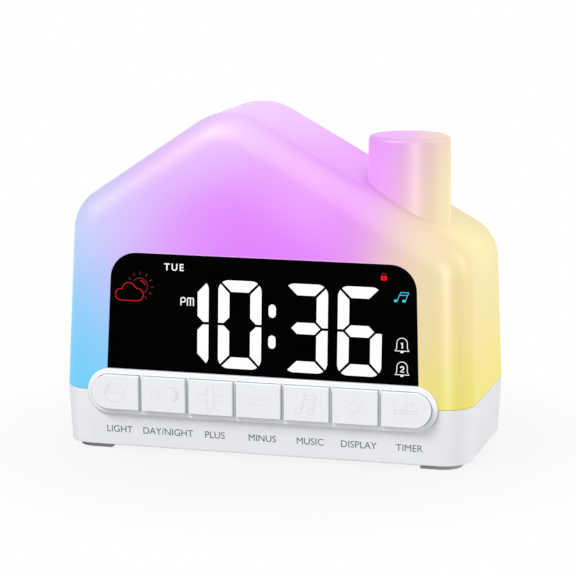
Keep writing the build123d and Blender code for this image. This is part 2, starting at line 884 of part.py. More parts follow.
def small_screws(name, plane, places, grip):
    """Pan-head screws with their heads on a plane, biting on through a grip behind it."""
    with BuildPart() as screws:
        with BuildSketch(plane):
            with Locations(*places):
                Circle(small_head_radius)
        extrude(amount=small_head_height)
        with BuildSketch(plane):
            with Locations(*places):
                Circle(small_shank_radius)
        extrude(amount=-grip - small_bite + pilot_spare)
    finish(screws, name)


display_back = face_plane.offset(-display_board_back)
small_screws(
    "display_screws",
    Plane(display_back.origin, display_back.x_dir, -display_back.z_dir),
    [(x, -y) for x, y in display_boss_places],
    board_thickness,
)
small_screws("main_board_screws", level(main_board_top), main_post_places, board_thickness)
light_board_top = light_board_z + board_thickness
small_screws("light_board_screws", level(light_board_top), light_post_places, board_thickness)

# Main board with its chip, power inlet and rear switches
with BuildPart() as main_board:
    with BuildSketch(level(main_board_z)):
        with Locations((main_board_shift_x, main_board_shift_y)):
            RectangleRounded(main_board_length, main_board_width, board_corner)
        with Locations(*main_post_places):
            Circle(small_shank_radius + screw_clearance, mode=Mode.SUBTRACT)
    extrude(amount=board_thickness)
finish(main_board, "main_board")

with BuildPart() as controller_chip:
    with BuildSketch(level(main_board_top)):
        with Locations((main_board_shift_x, main_board_shift_y)):
            Rectangle(chip_size, chip_size)
    extrude(amount=chip_height)
finish(controller_chip, "controller_chip")

with BuildPart() as power_inlet:
    with BuildSketch(rear_plane(inlet_mouth_y, inlet_z)):
        with Locations((-inlet_x, 0)):
            SlotOverall(inlet_width, inlet_height)
    extrude(amount=-inlet_depth)
    with BuildSketch(rear_plane(inlet_mouth_y, inlet_z)):
        with Locations((-inlet_x, 0)):
            SlotOverall(inlet_width - 2 * inlet_shell, inlet_height - 2 * inlet_shell)
    extrude(amount=inlet_back - inlet_depth, mode=Mode.SUBTRACT)
    with BuildSketch(rear_plane(inlet_mouth_y - tongue_back, inlet_z)):
        with Locations((-inlet_x, 0)):
            Rectangle(tongue_width, tongue_height)
    extrude(amount=inlet_back - inlet_depth + tongue_back)
finish(power_inlet, "power_inlet")

for place, key_name in zip(rear_key_places, rear_key_names):
    with BuildPart() as rear_key:
        with BuildSketch(rear_plane(rear_lip_y, rear_row_z)):
            with Locations(place):
                SlotOverall(rear_key_length, rear_key_height)
        extrude(amount=rear_y + rear_key_proud - rear_lip_y)
        fillet(rear_key.faces().sort_by(Axis.Y)[-1].edges(), radius=key_edge)
        with BuildSketch(rear_plane(rear_lip_y, rear_row_z)):
            with Locations(place):
                SlotOverall(rear_key_length + 2 * key_lip, rear_key_height + 2 * key_lip)
        extrude(amount=-key_lip_thickness)
        with BuildSketch(rear_plane(rear_lip_y - key_lip_thickness, rear_row_z)):
            with Locations(place):
                Circle(plunger_radius)
        extrude(amount=-plunger_length)
    finish(rear_key, f"{key_name}_key")
    with BuildPart() as rear_stem:
        with BuildSketch(rear_plane(rear_stem_y, rear_row_z)):
            with Locations(place):
                Circle(stem_radius)
        extrude(amount=-stem_proud - stem_sunk)
    finish(rear_stem, f"{key_name}_stem")

with BuildPart() as rear_switches:
    with BuildSketch(rear_plane(rear_switch_y, rear_row_z)):
        with Locations(*rear_key_places):
            Rectangle(switch_size, switch_size)
    extrude(amount=-rear_switch_depth)
    with BuildSketch(rear_plane(rear_switch_y, rear_row_z)):
        with Locations(*rear_key_places):
            Circle(stem_radius + stem_clearance)
    extrude(amount=-stem_sunk - key_travel - 2 * stem_clearance, mode=Mode.SUBTRACT)
finish(rear_switches, "rear_switches")

# Light board with its lamps
with BuildPart() as light_board:
    with BuildSketch(level(light_board_z)):
        with Locations((0, light_board_shift)):
            RectangleRounded(light_board_length, light_board_width, board_corner)
        with Locations(*light_post_places):
            Circle(small_shank_radius + screw_clearance, mode=Mode.SUBTRACT)
    extrude(amount=board_thickness)
finish(light_board, "light_board")

with BuildPart() as light_lamps:
    with BuildSketch(level(light_board_top)):
        with Locations((0, light_board_shift)):
            with GridLocations(
                light_post_spread / lamp_columns,
                light_post_span / lamp_rows,
                lamp_columns,
                lamp_rows,
            ):
                Rectangle(lamp_size, lamp_size)
    extrude(amount=lamp_height)
finish(light_lamps, "light_lamps")

# Speaker on the floor
speaker_plane = Plane(
    origin=(speaker_x, body_y + speaker_y, floor_z), x_dir=(1, 0, 0), z_dir=(0, -1, 0)
)
speaker_axis = Axis((speaker_x, body_y + speaker_y, floor_z), (0, 0, 1))
basket_inner = speaker_radius - speaker_rim
basket_ceiling = speaker_basket_height - speaker_basket_wall

with BuildPart() as speaker_frame:
    with BuildSketch(speaker_plane):
        with BuildLine():
            Polyline(
                (basket_inner, 0),
                (speaker_radius, 0),
                (speaker_radius, speaker_rim_height),
                (basket_inner + speaker_basket_wall, speaker_rim_height),
                (magnet_radius + speaker_basket_wall, speaker_basket_height),
                (0, speaker_basket_height),
                (0, basket_ceiling),
                (magnet_radius, basket_ceiling),
                (basket_inner, speaker_rim_height),
                close=True,
            )
        make_face()
    revolve(axis=speaker_axis)
finish(speaker_frame, "speaker_frame")

with BuildPart() as speaker_cone:
    cone_edge = basket_inner - cone_gap
    cone_top = basket_ceiling - cone_gap
    with BuildSketch(speaker_plane):
        with BuildLine():
            Polyline(
                (cone_edge, speaker_rim_height / 2),
                (cone_edge, speaker_rim_height / 2 + cone_thickness),
                (magnet_radius / 2, cone_top),
                (0, cone_top),
                (0, cone_top - cone_thickness),
                (magnet_radius / 2, cone_top - cone_thickness),
                close=True,
            )
        make_face()
    revolve(axis=speaker_axis)
finish(speaker_cone, "speaker_cone")

with BuildPart() as speaker_magnet:
    with BuildSketch(level(floor_z + speaker_basket_height)):
        with Locations((speaker_x, speaker_y)):
            Circle(magnet_radius)
    extrude(amount=magnet_height)
finish(speaker_magnet, "speaker_magnet")

# Backup cell, its two contacts, the door and its screw
with BuildPart() as coin_cell:
    with BuildSketch(level(cell_z)):
        with Locations(cell_place):
            Circle(cell_radius)
    extrude(amount=cell_thickness)
finish(coin_cell, "coin_cell")

with BuildPart() as battery_contacts:
    leaf_plane = Plane(
        origin=(cell_place[0], body_y + well_y, cell_z + cell_thickness),
        x_dir=(1, 0, 0),
        z_dir=(0, -1, 0),
    )
    leaf_rise = well_ceiling - cell_z - cell_thickness
    with BuildSketch(leaf_plane):
        with BuildLine():
            Polyline(
                (-contact_width, 0),
                (0, 0),
                (contact_width, leaf_rise - contact_thickness),
                (2 * contact_width, leaf_rise - contact_thickness),
                (2 * contact_width, leaf_rise),
                (contact_width, leaf_rise),
                (0, contact_thickness),
                (-contact_width, contact_thickness),
                close=True,
            )
        make_face()
    extrude(amount=contact_width / 2, both=True)
    with BuildSketch(level(cell_z)):
        with Locations((cell_place[0] + cell_radius, well_y)):
            Rectangle(contact_thickness, contact_width, align=(Align.MIN, Align.CENTER))
    extrude(amount=cell_thickness - contact_thickness)
finish(battery_contacts, "battery_contacts")

with BuildPart() as battery_door:
    with BuildSketch(level(foot_height)):
        with Locations((well_x, well_y)):
            RectangleRounded(well_length, well_width, door_corner)
        with Locations(door_screw_place):
            Circle(small_shank_radius + screw_clearance, mode=Mode.SUBTRACT)
    extrude(amount=door_thickness)
    with BuildSketch(level(foot_height)):
        with Locations(door_screw_place):
            Circle(small_head_radius + screw_clearance)
    extrude(amount=door_head_height, mode=Mode.SUBTRACT)
finish(battery_door, "battery_door")

with BuildPart() as battery_door_screw:
    with BuildSketch(level(foot_height)):
        with Locations(door_screw_place):
            Circle(small_head_radius)
    extrude(amount=door_head_height)
    with BuildSketch(level(foot_height + door_head_height)):
        with Locations(door_screw_place):
            Circle(small_shank_radius)
    extrude(amount=small_bite)
finish(battery_door_screw, "battery_door_screw")

# Chimney button: tapered cap with a spider, plunger and two retaining lugs inside the collar
with BuildPart() as chimney_button:
    with BuildSketch(level(button_z)):
        with Locations((chimney_x, chimney_y)):
            Circle(chimney_radius)
    extrude(amount=button_height, taper=chimney_draft)
    fillet(chimney_button.faces().sort_by(Axis.Z)[-1].edges(), radius=chimney_edge)
    with BuildSketch(level(button_z)):
        with Locations((chimney_x, chimney_y)):
            Circle(chimney_radius - chimney_wall)
    extrude(amount=button_height - chimney_wall, taper=chimney_draft, mode=Mode.SUBTRACT)
    with BuildSketch(level(button_z)):
        with Locations((chimney_x, chimney_y)):
            Circle(hub_radius)
            Rectangle(2 * chimney_radius - chimney_wall, spoke_width)
            Rectangle(spoke_width, 2 * chimney_radius - chimney_wall)
    extrude(amount=spider_height)
    with BuildSketch(level(button_z)):
        with Locations((chimney_x, chimney_y)):
            Circle(chimney_plunger_radius)
    extrude(amount=-chimney_plunger_length)
    with BuildSketch(level(button_z)):
        for side in (-1, 1):
            with Locations((chimney_x, chimney_y + side * chimney_radius)):
                Rectangle(lug_width, 2 * lug_reach)
    extrude(amount=lug_height)
finish(chimney_button, "chimney_button")

with BuildPart() as chimney_bridge:
    with BuildSketch(level(collar_z)):
        with Locations((chimney_x, chimney_y)):
            SlotOverall(2 * ear_x + 2 * ear_radius, bridge_width)
        with Locations(*ear_places):
            Circle(small_shank_radius + screw_clearance, mode=Mode.SUBTRACT)
    extrude(amount=-bridge_thickness)
finish(chimney_bridge, "chimney_bridge")

bridge_bottom = level(collar_z - bridge_thickness)
small_screws(
    "chimney_screws",
    Plane(bridge_bottom.origin, bridge_bottom.x_dir, -bridge_bottom.z_dir),
    [(x, -y) for x, y in ear_places],
    bridge_thickness,
)

with BuildPart() as chimney_switch:
    with BuildSketch(level(collar_z)):
        with Locations((chimney_x, chimney_y)):
            Rectangle(switch_size, switch_size)
    extrude(amount=chimney_switch_height)
    with BuildSketch(level(chimney_stem_bottom)):
        with Locations((chimney_x, chimney_y)):
            Circle(stem_radius + stem_clearance)
    extrude(amount=-stem_sunk - chimney_travel - 2 * stem_clearance, mode=Mode.SUBTRACT)
finish(chimney_switch, "chimney_switch")

with BuildPart() as chimney_stem:
    with BuildSketch(level(chimney_stem_top)):
        with Locations((chimney_x, chimney_y)):
            Circle(stem_radius)
    extrude(amount=-chimney_stem_proud - stem_sunk)
finish(chimney_stem, "chimney_stem")

# Flat ribbons from the display, key and light boards down to the main board, drawn seen from the right
face_sine = sin(radians(face_draft))
face_cosine = cos(radians(face_draft))
ribbon_rise = block_rise + ribbon_step
landing_y = main_board_front_gap + ribbon_landing - body_depth / 2
landing_z = main_board_top - seam_z
display_exit_y = ribbon_rise * face_sine + display_board_back * face_cosine - body_depth / 2
display_exit_z = ribbon_rise * face_cosine - display_board_back * face_sine
key_exit_y = key_board_front + board_thickness - body_depth / 2
light_exit_z = light_board_z - seam_z
light_drop = (light_exit_z - landing_z) / 3
ribbons = {
    "display_ribbon": (
        main_board_left + ribbon_inset,
        [
            (display_exit_y, display_exit_z),
            (landing_y, display_exit_z - (landing_y - display_exit_y) * face_lean),
            (landing_y, landing_z),
        ],
    ),
    "key_ribbon": (
        main_board_right - ribbon_inset,
        [(key_exit_y, bar_lift), (landing_y, bar_lift), (landing_y, landing_z)],
    ),
    "light_ribbon": (
        main_board_right - ribbon_inset,
        [
            (main_board_shift_y, light_exit_z),
            (main_board_shift_y, light_exit_z - light_drop),
            (main_board_shift_y + ribbon_step, landing_z + light_drop),
            (main_board_shift_y + ribbon_step, landing_z),
        ],
    ),
}

for name, (middle_x, route) in ribbons.items():
    with BuildPart() as ribbon:
        with BuildSketch(end_plane.offset(middle_x)):
            with BuildLine():
                FilletPolyline(*route, radius=ribbon_bend)
            trace(line_width=ribbon_thickness)
        extrude(amount=ribbon_width / 2, both=True)
    finish(ribbon, name)

bridge_z = collar_z - bridge_thickness
lead_drop = (bridge_z - light_board_top) / 3

# Pairs of round leads: the speaker's drawn seen from the front, the chimney switch's seen from the right
lead_pairs = {
    "speaker_leads": (
        Plane(origin=(0, body_y + speaker_y, 0), x_dir=(1, 0, 0), z_dir=(0, -1, 0)),
        lead_bend,
        [
            (speaker_x - speaker_radius + lead_radius, floor_z + speaker_rim_height),
            (speaker_x - speaker_radius + lead_radius, main_board_top + lead_rise),
            (main_board_right - post_inset, main_board_top + lead_rise),
            (main_board_right - post_inset, main_board_top),
        ],
    ),
    "chimney_leads": (
        Plane(origin=(chimney_x, body_y, 0), x_dir=(0, 1, 0), z_dir=(1, 0, 0)),
        lead_drop_bend,
        [
            (chimney_y, bridge_z),
            (chimney_y, bridge_z - lead_drop),
            (light_board_shift, light_board_top + lead_drop),
            (light_board_shift, light_board_top),
        ],
    ),
}

for name, (plane, bend, route) in lead_pairs.items():
    with BuildPart() as leads:
        for side in (-1, 1):
            with BuildLine(plane.offset(side * lead_spacing / 2)) as lead:
                FilletPolyline(*route, radius=bend)
            with BuildSketch(Plane(origin=lead.line @ 0, z_dir=lead.line % 0)):
                Circle(lead_radius)
            sweep()
    finish(leads, name)
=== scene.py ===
from math import cos, radians, sin, sqrt, tau

import bmesh
import bpy
from mathutils import Matrix, Vector


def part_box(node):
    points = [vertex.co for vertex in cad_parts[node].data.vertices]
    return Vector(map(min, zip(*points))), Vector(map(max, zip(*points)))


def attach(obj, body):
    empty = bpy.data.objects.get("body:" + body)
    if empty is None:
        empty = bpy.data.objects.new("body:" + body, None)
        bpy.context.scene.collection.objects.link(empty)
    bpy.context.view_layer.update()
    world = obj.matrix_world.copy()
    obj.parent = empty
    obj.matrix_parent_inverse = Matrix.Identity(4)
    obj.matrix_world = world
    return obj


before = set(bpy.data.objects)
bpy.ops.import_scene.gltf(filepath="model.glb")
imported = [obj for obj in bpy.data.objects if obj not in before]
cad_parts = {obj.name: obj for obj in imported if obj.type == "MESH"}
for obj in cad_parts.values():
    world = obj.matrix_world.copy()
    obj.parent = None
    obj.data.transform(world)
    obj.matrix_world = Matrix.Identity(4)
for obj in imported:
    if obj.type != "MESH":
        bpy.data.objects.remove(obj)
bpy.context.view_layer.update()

# Base housing: the tub that carries the boards, the speaker and the case screws.
# It is moulded in cool white plastic, with the fine satin grain of a spark-eroded tool.
MM = 0.001
SATIN_WHITE = (0.785, 0.795, 0.82, 1.0)
FINE_GRAIN = 2600.0
FLOW_MARKS = 30.0
POLISH_SWING = 0.12
GRAIN_STRENGTH = 0.5


def add_node(tree, kind, inputs=None, **settings):
    """Add a shader node, set its options, and fill or link its inputs."""
    made = tree.nodes.new("ShaderNode" + kind)
    for option, value in settings.items():
        setattr(made, option, value)
    for socket, value in (inputs or {}).items():
        if isinstance(value, bpy.types.NodeSocket):
            tree.links.new(value, made.inputs[socket])
        else:
            made.inputs[socket].default_value = value
    return made


def math_node(tree, operation, first, second=0.0):
    """One sum of two values or sockets."""
    return add_node(tree, "Math", {0: first, 1: second}, operation=operation).outputs[0]


def stretched(tree, value, swing, level):
    """A varying value times a swing, on top of a level."""
    return add_node(tree, "Math", {0: value, 1: swing, 2: level}, operation="MULTIPLY_ADD").outputs[0]


def vector_node(tree, operation, inputs):
    """One sum of vectors or colours, giving a length where the sum measures one."""
    outputs = add_node(tree, "VectorMath", inputs, operation=operation).outputs
    return outputs["Value"] if operation in ("DISTANCE", "LENGTH") else outputs["Vector"]


def noise(tree, place, scale, detail):
    """A cloudy value between 0 and 1, with a scale counted to the metre."""
    return add_node(tree, "TexNoise", {"Vector": place, "Scale": scale, "Detail": detail}).outputs["Fac"]


def new_group(name, inputs, outputs):
    """An empty shader node group with named sockets, and its two ends."""
    tree = bpy.data.node_groups.new(name, "ShaderNodeTree")
    for label, kind in inputs:
        tree.interface.new_socket(label, in_out="INPUT", socket_type="NodeSocket" + kind)
    for label, kind in outputs:
        tree.interface.new_socket(label, in_out="OUTPUT", socket_type="NodeSocket" + kind)
    return tree, tree.nodes.new("NodeGroupInput").outputs, tree.nodes.new("NodeGroupOutput").inputs


def new_finish(name, constants):
    """A material of one shader, with what is the same all over set on the shader's own sockets."""
    finish = bpy.data.materials.new(name)
    finish.use_nodes = True
    shader = finish.node_tree.nodes["Principled BSDF"]
    for socket, value in constants.items():
        shader.inputs[socket].default_value = value
    return finish, finish.node_tree, shader


def place_group(tree, group, inputs):
    """Put a node group into a material with its own values."""
    made = tree.nodes.new("ShaderNodeGroup")
    made.node_tree = group
    for socket, value in inputs.items():
        made.inputs[socket].default_value = value
    return made.outputs


def raise_grain(tree, shader, height, depth):
    """Feed a height to the shader's normal as a fine relief of a depth in millimetres."""
    bump = add_node(tree, "Bump", {"Strength": GRAIN_STRENGTH, "Distance": depth * MM, "Height": height})
    tree.links.new(bump.outputs["Normal"], shader.inputs["Normal"])


def dress(finish, *nodes):
    """Give modelled pieces a finish."""
    for name in nodes:
        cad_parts[name].data.materials[0] = finish


grain_group, grain_in, grain_out = new_group(
    "moulded_grain",
    [("Color", "Color"), ("Mottle", "Float"), ("Roughness", "Float"), ("Grain per metre", "Float")],
    [("Color", "Color"), ("Roughness", "Float"), ("Height", "Float")],
)
place = add_node(grain_group, "TexCoord").outputs["Object"]
flow = math_node(grain_group, "SUBTRACT", noise(grain_group, place, FLOW_MARKS, 2.0), 0.5)
shade = stretched(grain_group, flow, grain_in["Mottle"], 1.0)
tinted = vector_node(grain_group, "SCALE", {0: grain_in["Color"], "Scale": shade})
pits = noise(grain_group, place, grain_in["Grain per metre"], 2.0)
uneven = math_node(grain_group, "SUBTRACT", pits, 0.5)
polish = stretched(grain_group, uneven, POLISH_SWING, grain_in["Roughness"])
grain_group.links.new(tinted, grain_out["Color"])
grain_group.links.new(polish, grain_out["Roughness"])
grain_group.links.new(pits, grain_out["Height"])


def moulded(name, color, roughness, mottle, grain, depth, constants=None):
    """A moulded plastic or rubber with slight flow marks, uneven polish and a fine grain."""
    finish, tree, shader = new_finish(name, constants or {})
    values = {"Color": color, "Mottle": mottle, "Roughness": roughness, "Grain per metre": grain}
    grained = place_group(tree, grain_group, values)
    tree.links.new(grained["Color"], shader.inputs["Base Color"])
    tree.links.new(grained["Roughness"], shader.inputs["Roughness"])
    raise_grain(tree, shader, grained["Height"], depth)
    return finish


satin_white = moulded(
    "satin_white",
    SATIN_WHITE,
    roughness=0.52,
    mottle=0.05,
    grain=FINE_GRAIN,
    depth=0.02,
    constants={"Specular IOR Level": 0.7},
)
dress(satin_white, "base_housing", "battery_door")

# Key labels: one short word under each key, printed in grey ink on the front of the base.
# The ink is a film a few hundredths of a millimetre thick, and lies along the wall's draft.
BASE_DRAFT = radians(3.2)
SEAM_GAP = 0.3
LABEL_DROP = 15.2
LABEL_SHIFT = 0.6
LABEL_SIZE = 3.75
LABEL_WEIGHT = 0.015
INK_DEPTH = 0.02
KEY_LABELS = {
    "dimmer": "LIGHT",
    "day_night": "DAY/NIGHT",
    "plus": "PLUS",
    "minus": "MINUS",
    "sound": "MUSIC",
    "brightness": "DISPLAY",
    "sleep": "TIMER",
}
base_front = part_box("base_housing")[0].y
seam_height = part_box("diffuser_shell")[0].z - SEAM_GAP * MM


def face_matrix(origin, lean):
    """A drawing plane in millimetres on a front face: x runs right, y up the face and z outwards."""
    up = Vector((0, sin(lean), cos(lean)))
    out = Vector((0, -cos(lean), sin(lean)))
    turn = Matrix((Vector((1, 0, 0)), up, out)).transposed().to_4x4()
    return Matrix.Translation(origin) @ turn @ Matrix.Scale(MM, 4)


def make_piece(name, curves, plane, finish, body):
    """Turn curves and words drawn on a plane into one mesh piece that moves with a body."""
    whole = bmesh.new()
    for curve in curves:
        drawing = bpy.data.objects.new(name, curve)
        bpy.context.scene.collection.objects.link(drawing)
        settled = drawing.evaluated_get(bpy.context.evaluated_depsgraph_get())
        whole.from_mesh(settled.to_mesh())
        settled.to_mesh_clear()
        bpy.data.objects.remove(drawing)
    mesh = bpy.data.meshes.new(name)
    whole.to_mesh(mesh)
    whole.free()
    mesh.transform(plane)
    mesh.materials.append(finish)
    piece = bpy.data.objects.new(name, mesh)
    bpy.context.scene.collection.objects.link(piece)
    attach(piece, body)


def key_middle(key):
    """Middle of a key's front in millimetres along the bar."""
    low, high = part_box(key + "_key")
    return (low.x + high.x) / 2 / MM


def word(text, place, size, depth, weight):
    """A word centred on a place, as raised flat letters that a weight makes bolder."""
    curve = bpy.data.curves.new(text, "FONT")
    curve.body = text
    curve.size = size
    curve.align_x = "CENTER"
    curve.align_y = "CENTER"
    curve.extrude = depth
    curve.bevel_depth = weight
    curve.text_boxes[0].x = place[0]
    curve.text_boxes[0].y = place[1]
    return curve


grey_ink = moulded(
    "grey_ink", (0.11, 0.11, 0.115, 1.0), roughness=0.55, mottle=0.3, grain=5000.0, depth=0.004
)
label_plane = face_matrix(Vector((0, base_front, seam_height)), -BASE_DRAFT)
for key, text in KEY_LABELS.items():
    label_place = (key_middle(key) + LABEL_SHIFT, -LABEL_DROP)
    label = word(text, label_place, LABEL_SIZE, INK_DEPTH, LABEL_WEIGHT)
    make_piece(key + "_label", [label], label_plane, grey_ink, "case")

# Feet: four corner pads of grey rubber, stuck to the floor of the base over the case screws.
# They are cut from sheet, so their undersides are flat and a little rough.
foot_rubber = moulded(
    "foot_rubber", (0.40, 0.405, 0.42, 1.0), roughness=0.7, mottle=0.2, grain=1800.0, depth=0.05
)
dress(foot_rubber, "feet")

# Metal pieces: pan-head screws, brass battery contacts, the cell's can, the inlet's shell and the black
# speaker frame and magnet. All but the contacts are plated steel, with the fine lines of the mill.
LINE_STRETCH = (0.08, 0.08, 1.0)
STAINS_PER_METRE = 260.0
STAIN_SWING = 0.3
STAIN_LEVEL = 0.8
STREAK_SWING = 0.25
LINE_DEPTH = 0.01
metal_group, metal_in, metal_out = new_group(
    "drawn_metal",
    [("Color", "Color"), ("Roughness", "Float"), ("Lines per metre", "Float")],
    [("Color", "Color"), ("Roughness", "Float"), ("Height", "Float")],
)
place = add_node(metal_group, "TexCoord").outputs["Object"]
drawn_out = vector_node(metal_group, "MULTIPLY", {0: place, 1: LINE_STRETCH})
mill_lines = noise(metal_group, drawn_out, metal_in["Lines per metre"], 3.0)
stain = noise(metal_group, place, STAINS_PER_METRE, 2.0)
dulled = stretched(metal_group, stain, STAIN_SWING, STAIN_LEVEL)
tinted = vector_node(metal_group, "SCALE", {0: metal_in["Color"], "Scale": dulled})
uneven = math_node(metal_group, "SUBTRACT", mill_lines, 0.5)
streaked = stretched(metal_group, uneven, STREAK_SWING, metal_in["Roughness"])
metal_group.links.new(tinted, metal_out["Color"])
metal_group.links.new(streaked, metal_out["Roughness"])
metal_group.links.new(mill_lines, metal_out["Height"])


def drawn_metal(name, color, roughness, lines):
    """A plated metal with fine lines, dull patches and a soft polish."""
    finish, tree, shader = new_finish(name, {"Metallic": 1.0})
    values = {"Color": color, "Roughness": roughness, "Lines per metre": lines}
    drawn = place_group(tree, metal_group, values)
    tree.links.new(drawn["Color"], shader.inputs["Base Color"])
    tree.links.new(drawn["Roughness"], shader.inputs["Roughness"])
    raise_grain(tree, shader, drawn["Height"], LINE_DEPTH)
    return finish


screw_steel = drawn_metal("screw_steel", (0.55, 0.55, 0.56, 1.0), roughness=0.35, lines=4000.0)
dress(
    screw_steel,
    "case_screws",
    "display_screws",
    "main_board_screws",
    "light_board_screws",
    "chimney_screws",
    "battery_door_screw",
)
contact_brass = drawn_metal("contact_brass", (0.70, 0.58, 0.33, 1.0), roughness=0.28, lines=3000.0)
dress(contact_brass, "battery_contacts")
cell_can = drawn_metal("cell_can", (0.72, 0.72, 0.71, 1.0), roughness=0.25, lines=2500.0)
dress(cell_can, "coin_cell")
inlet_shell = drawn_metal("inlet_shell", (0.60, 0.60, 0.61, 1.0), roughness=0.3, lines=3500.0)
dress(inlet_shell, "power_inlet")
speaker_steel = drawn_metal("speaker_steel", (0.13, 0.13, 0.14, 1.0), roughness=0.45, lines=2000.0)
dress(speaker_steel, "speaker_frame", "speaker_magnet")

# Speaker cone: a dish of black pressed paper behind the slots of the floor.
# Its rings come from the forming tool, and its fibre shows as a coarse fleck.
RING_RADIANS_PER_METRE = 2200.0
RING_DEPTH = 0.08
FIBRES_PER_METRE = 1500.0
PAPER_SWING = 0.2
PAPER_ROUGHNESS = 0.7
cone_low, cone_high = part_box("speaker_cone")
cone_middle = ((cone_low.x + cone_high.x) / 2, (cone_low.y + cone_high.y) / 2, 0.0)
cone_paper, tree, shader = new_finish("cone_paper", {"Specular IOR Level": 0.2})
place = add_node(tree, "TexCoord").outputs["Object"]
on_floor = vector_node(tree, "MULTIPLY", {0: place, 1: (1.0, 1.0, 0.0)})
from_cone = vector_node(tree, "DISTANCE", {0: on_floor, 1: cone_middle})
rings = math_node(tree, "SINE", math_node(tree, "MULTIPLY", from_cone, RING_RADIANS_PER_METRE))
fibre = noise(tree, place, FIBRES_PER_METRE, 4.0)
fleck = add_node(tree, "ValToRGB", {"Fac": fibre})
fleck.color_ramp.elements[0].color = (0.012, 0.012, 0.013, 1.0)
fleck.color_ramp.elements[1].color = (0.05, 0.048, 0.046, 1.0)
tree.links.new(fleck.outputs["Color"], shader.inputs["Base Color"])
tree.links.new(stretched(tree, fibre, PAPER_SWING, PAPER_ROUGHNESS), shader.inputs["Roughness"])
raise_grain(tree, shader, rings, RING_DEPTH)
dress(cone_paper, "speaker_cone")

# Circuit boards: four glass-fibre boards under a green mask, screwed down or staked on pins.
# Copper tracks show through the mask as a net of paler lines.
TRACK_SCALE = 420.0
TRACK_WIDTH = 0.06
TRACK_DEPTH = 0.03
GLAZE_MARKS = 300.0
GLAZE_SWING = 0.2
GLAZE_ROUGHNESS = 0.3
board_mask, tree, shader = new_finish("board_mask", {"Specular IOR Level": 0.4})
place = add_node(tree, "TexCoord").outputs["Object"]
tracks = add_node(
    tree,
    "TexBrick",
    {
        "Vector": place,
        "Scale": TRACK_SCALE,
        "Mortar Size": TRACK_WIDTH,
        "Color1": (0.015, 0.11, 0.05, 1.0),
        "Color2": (0.02, 0.14, 0.065, 1.0),
        "Mortar": (0.06, 0.24, 0.10, 1.0),
    },
).outputs
glaze = noise(tree, place, GLAZE_MARKS, 2.0)
tree.links.new(tracks["Color"], shader.inputs["Base Color"])
tree.links.new(stretched(tree, glaze, GLAZE_SWING, GLAZE_ROUGHNESS), shader.inputs["Roughness"])
raise_grain(tree, shader, tracks["Fac"], TRACK_DEPTH)
dress(board_mask, "main_board", "key_board", "display_board", "light_board")

# Small parts inside: the switches, their stems, the chip and the digit block in black plastics,
# the chimney's bridge in white, the flat ribbons in white film and the round leads in red sleeve.
FRONT_KEYS = list(KEY_LABELS)
REAR_KEYS = ["clock_set", "alarm_one", "alarm_two"]
RESIN_GRAIN = 2400.0
black_resin = moulded(
    "black_resin", (0.02, 0.02, 0.021, 1.0), roughness=0.5, mottle=0.3, grain=RESIN_GRAIN, depth=0.02
)
dress(black_resin, "key_switches", "rear_switches", "chimney_switch", "controller_chip")
stem_plastic = moulded(
    "stem_plastic", (0.10, 0.10, 0.11, 1.0), roughness=0.4, mottle=0.08, grain=RESIN_GRAIN, depth=0.01
)
dress(stem_plastic, "chimney_stem", *[key + "_stem" for key in FRONT_KEYS + REAR_KEYS])
ribbon_film = moulded(
    "ribbon_film", (0.72, 0.73, 0.75, 1.0), roughness=0.35, mottle=0.1, grain=900.0, depth=0.02
)
dress(ribbon_film, "display_ribbon", "key_ribbon", "light_ribbon")
red_sleeve = moulded(
    "red_sleeve", (0.42, 0.02, 0.02, 1.0), roughness=0.45, mottle=0.15, grain=1500.0, depth=0.02
)
dress(red_sleeve, "speaker_leads", "chimney_leads")
bridge_plastic = moulded(
    "bridge_plastic", (0.74, 0.74, 0.76, 1.0), roughness=0.45, mottle=0.06, grain=RESIN_GRAIN, depth=0.02
)
dress(bridge_plastic, "chimney_bridge")
digit_reflector = moulded(
    "digit_reflector", (0.04, 0.04, 0.042, 1.0), roughness=0.5, mottle=0.2, grain=RESIN_GRAIN, depth=0.02
)
dress(digit_reflector, "digit_block")

# Light pieces: the lamps on the light board and the milky bars in the digit block.
# Both are cast resin that shines by itself, and not quite evenly.
RESIN_SHINE = 0.6
RESIN_VALUES = {"Mottle": 0.1, "Roughness": 0.4, "Grain per metre": 1200.0}
SHINE_MOTTLE = 0.12


def lit(name, color, glow, strength):
    """A shining resin or film whose glow is slightly uneven."""
    finish, tree, shader = new_finish(name, {"Specular IOR Level": 0.1, "Emission Strength": strength})
    resin = place_group(tree, grain_group, {"Color": color, **RESIN_VALUES})
    shine = place_group(tree, grain_group, {"Color": glow, "Mottle": SHINE_MOTTLE})
    tree.links.new(resin["Color"], shader.inputs["Base Color"])
    tree.links.new(resin["Roughness"], shader.inputs["Roughness"])
    tree.links.new(shine["Color"], shader.inputs["Emission Color"])
    return finish


dress(lit("lamp_resin", (0.7, 0.68, 0.5, 1.0), (1.0, 0.95, 0.85, 1.0), RESIN_SHINE), "light_lamps")
dress(lit("segment_resin", (0.75, 0.75, 0.75, 1.0), (1.0, 1.0, 1.0, 1.0), RESIN_SHINE), "light_segments")

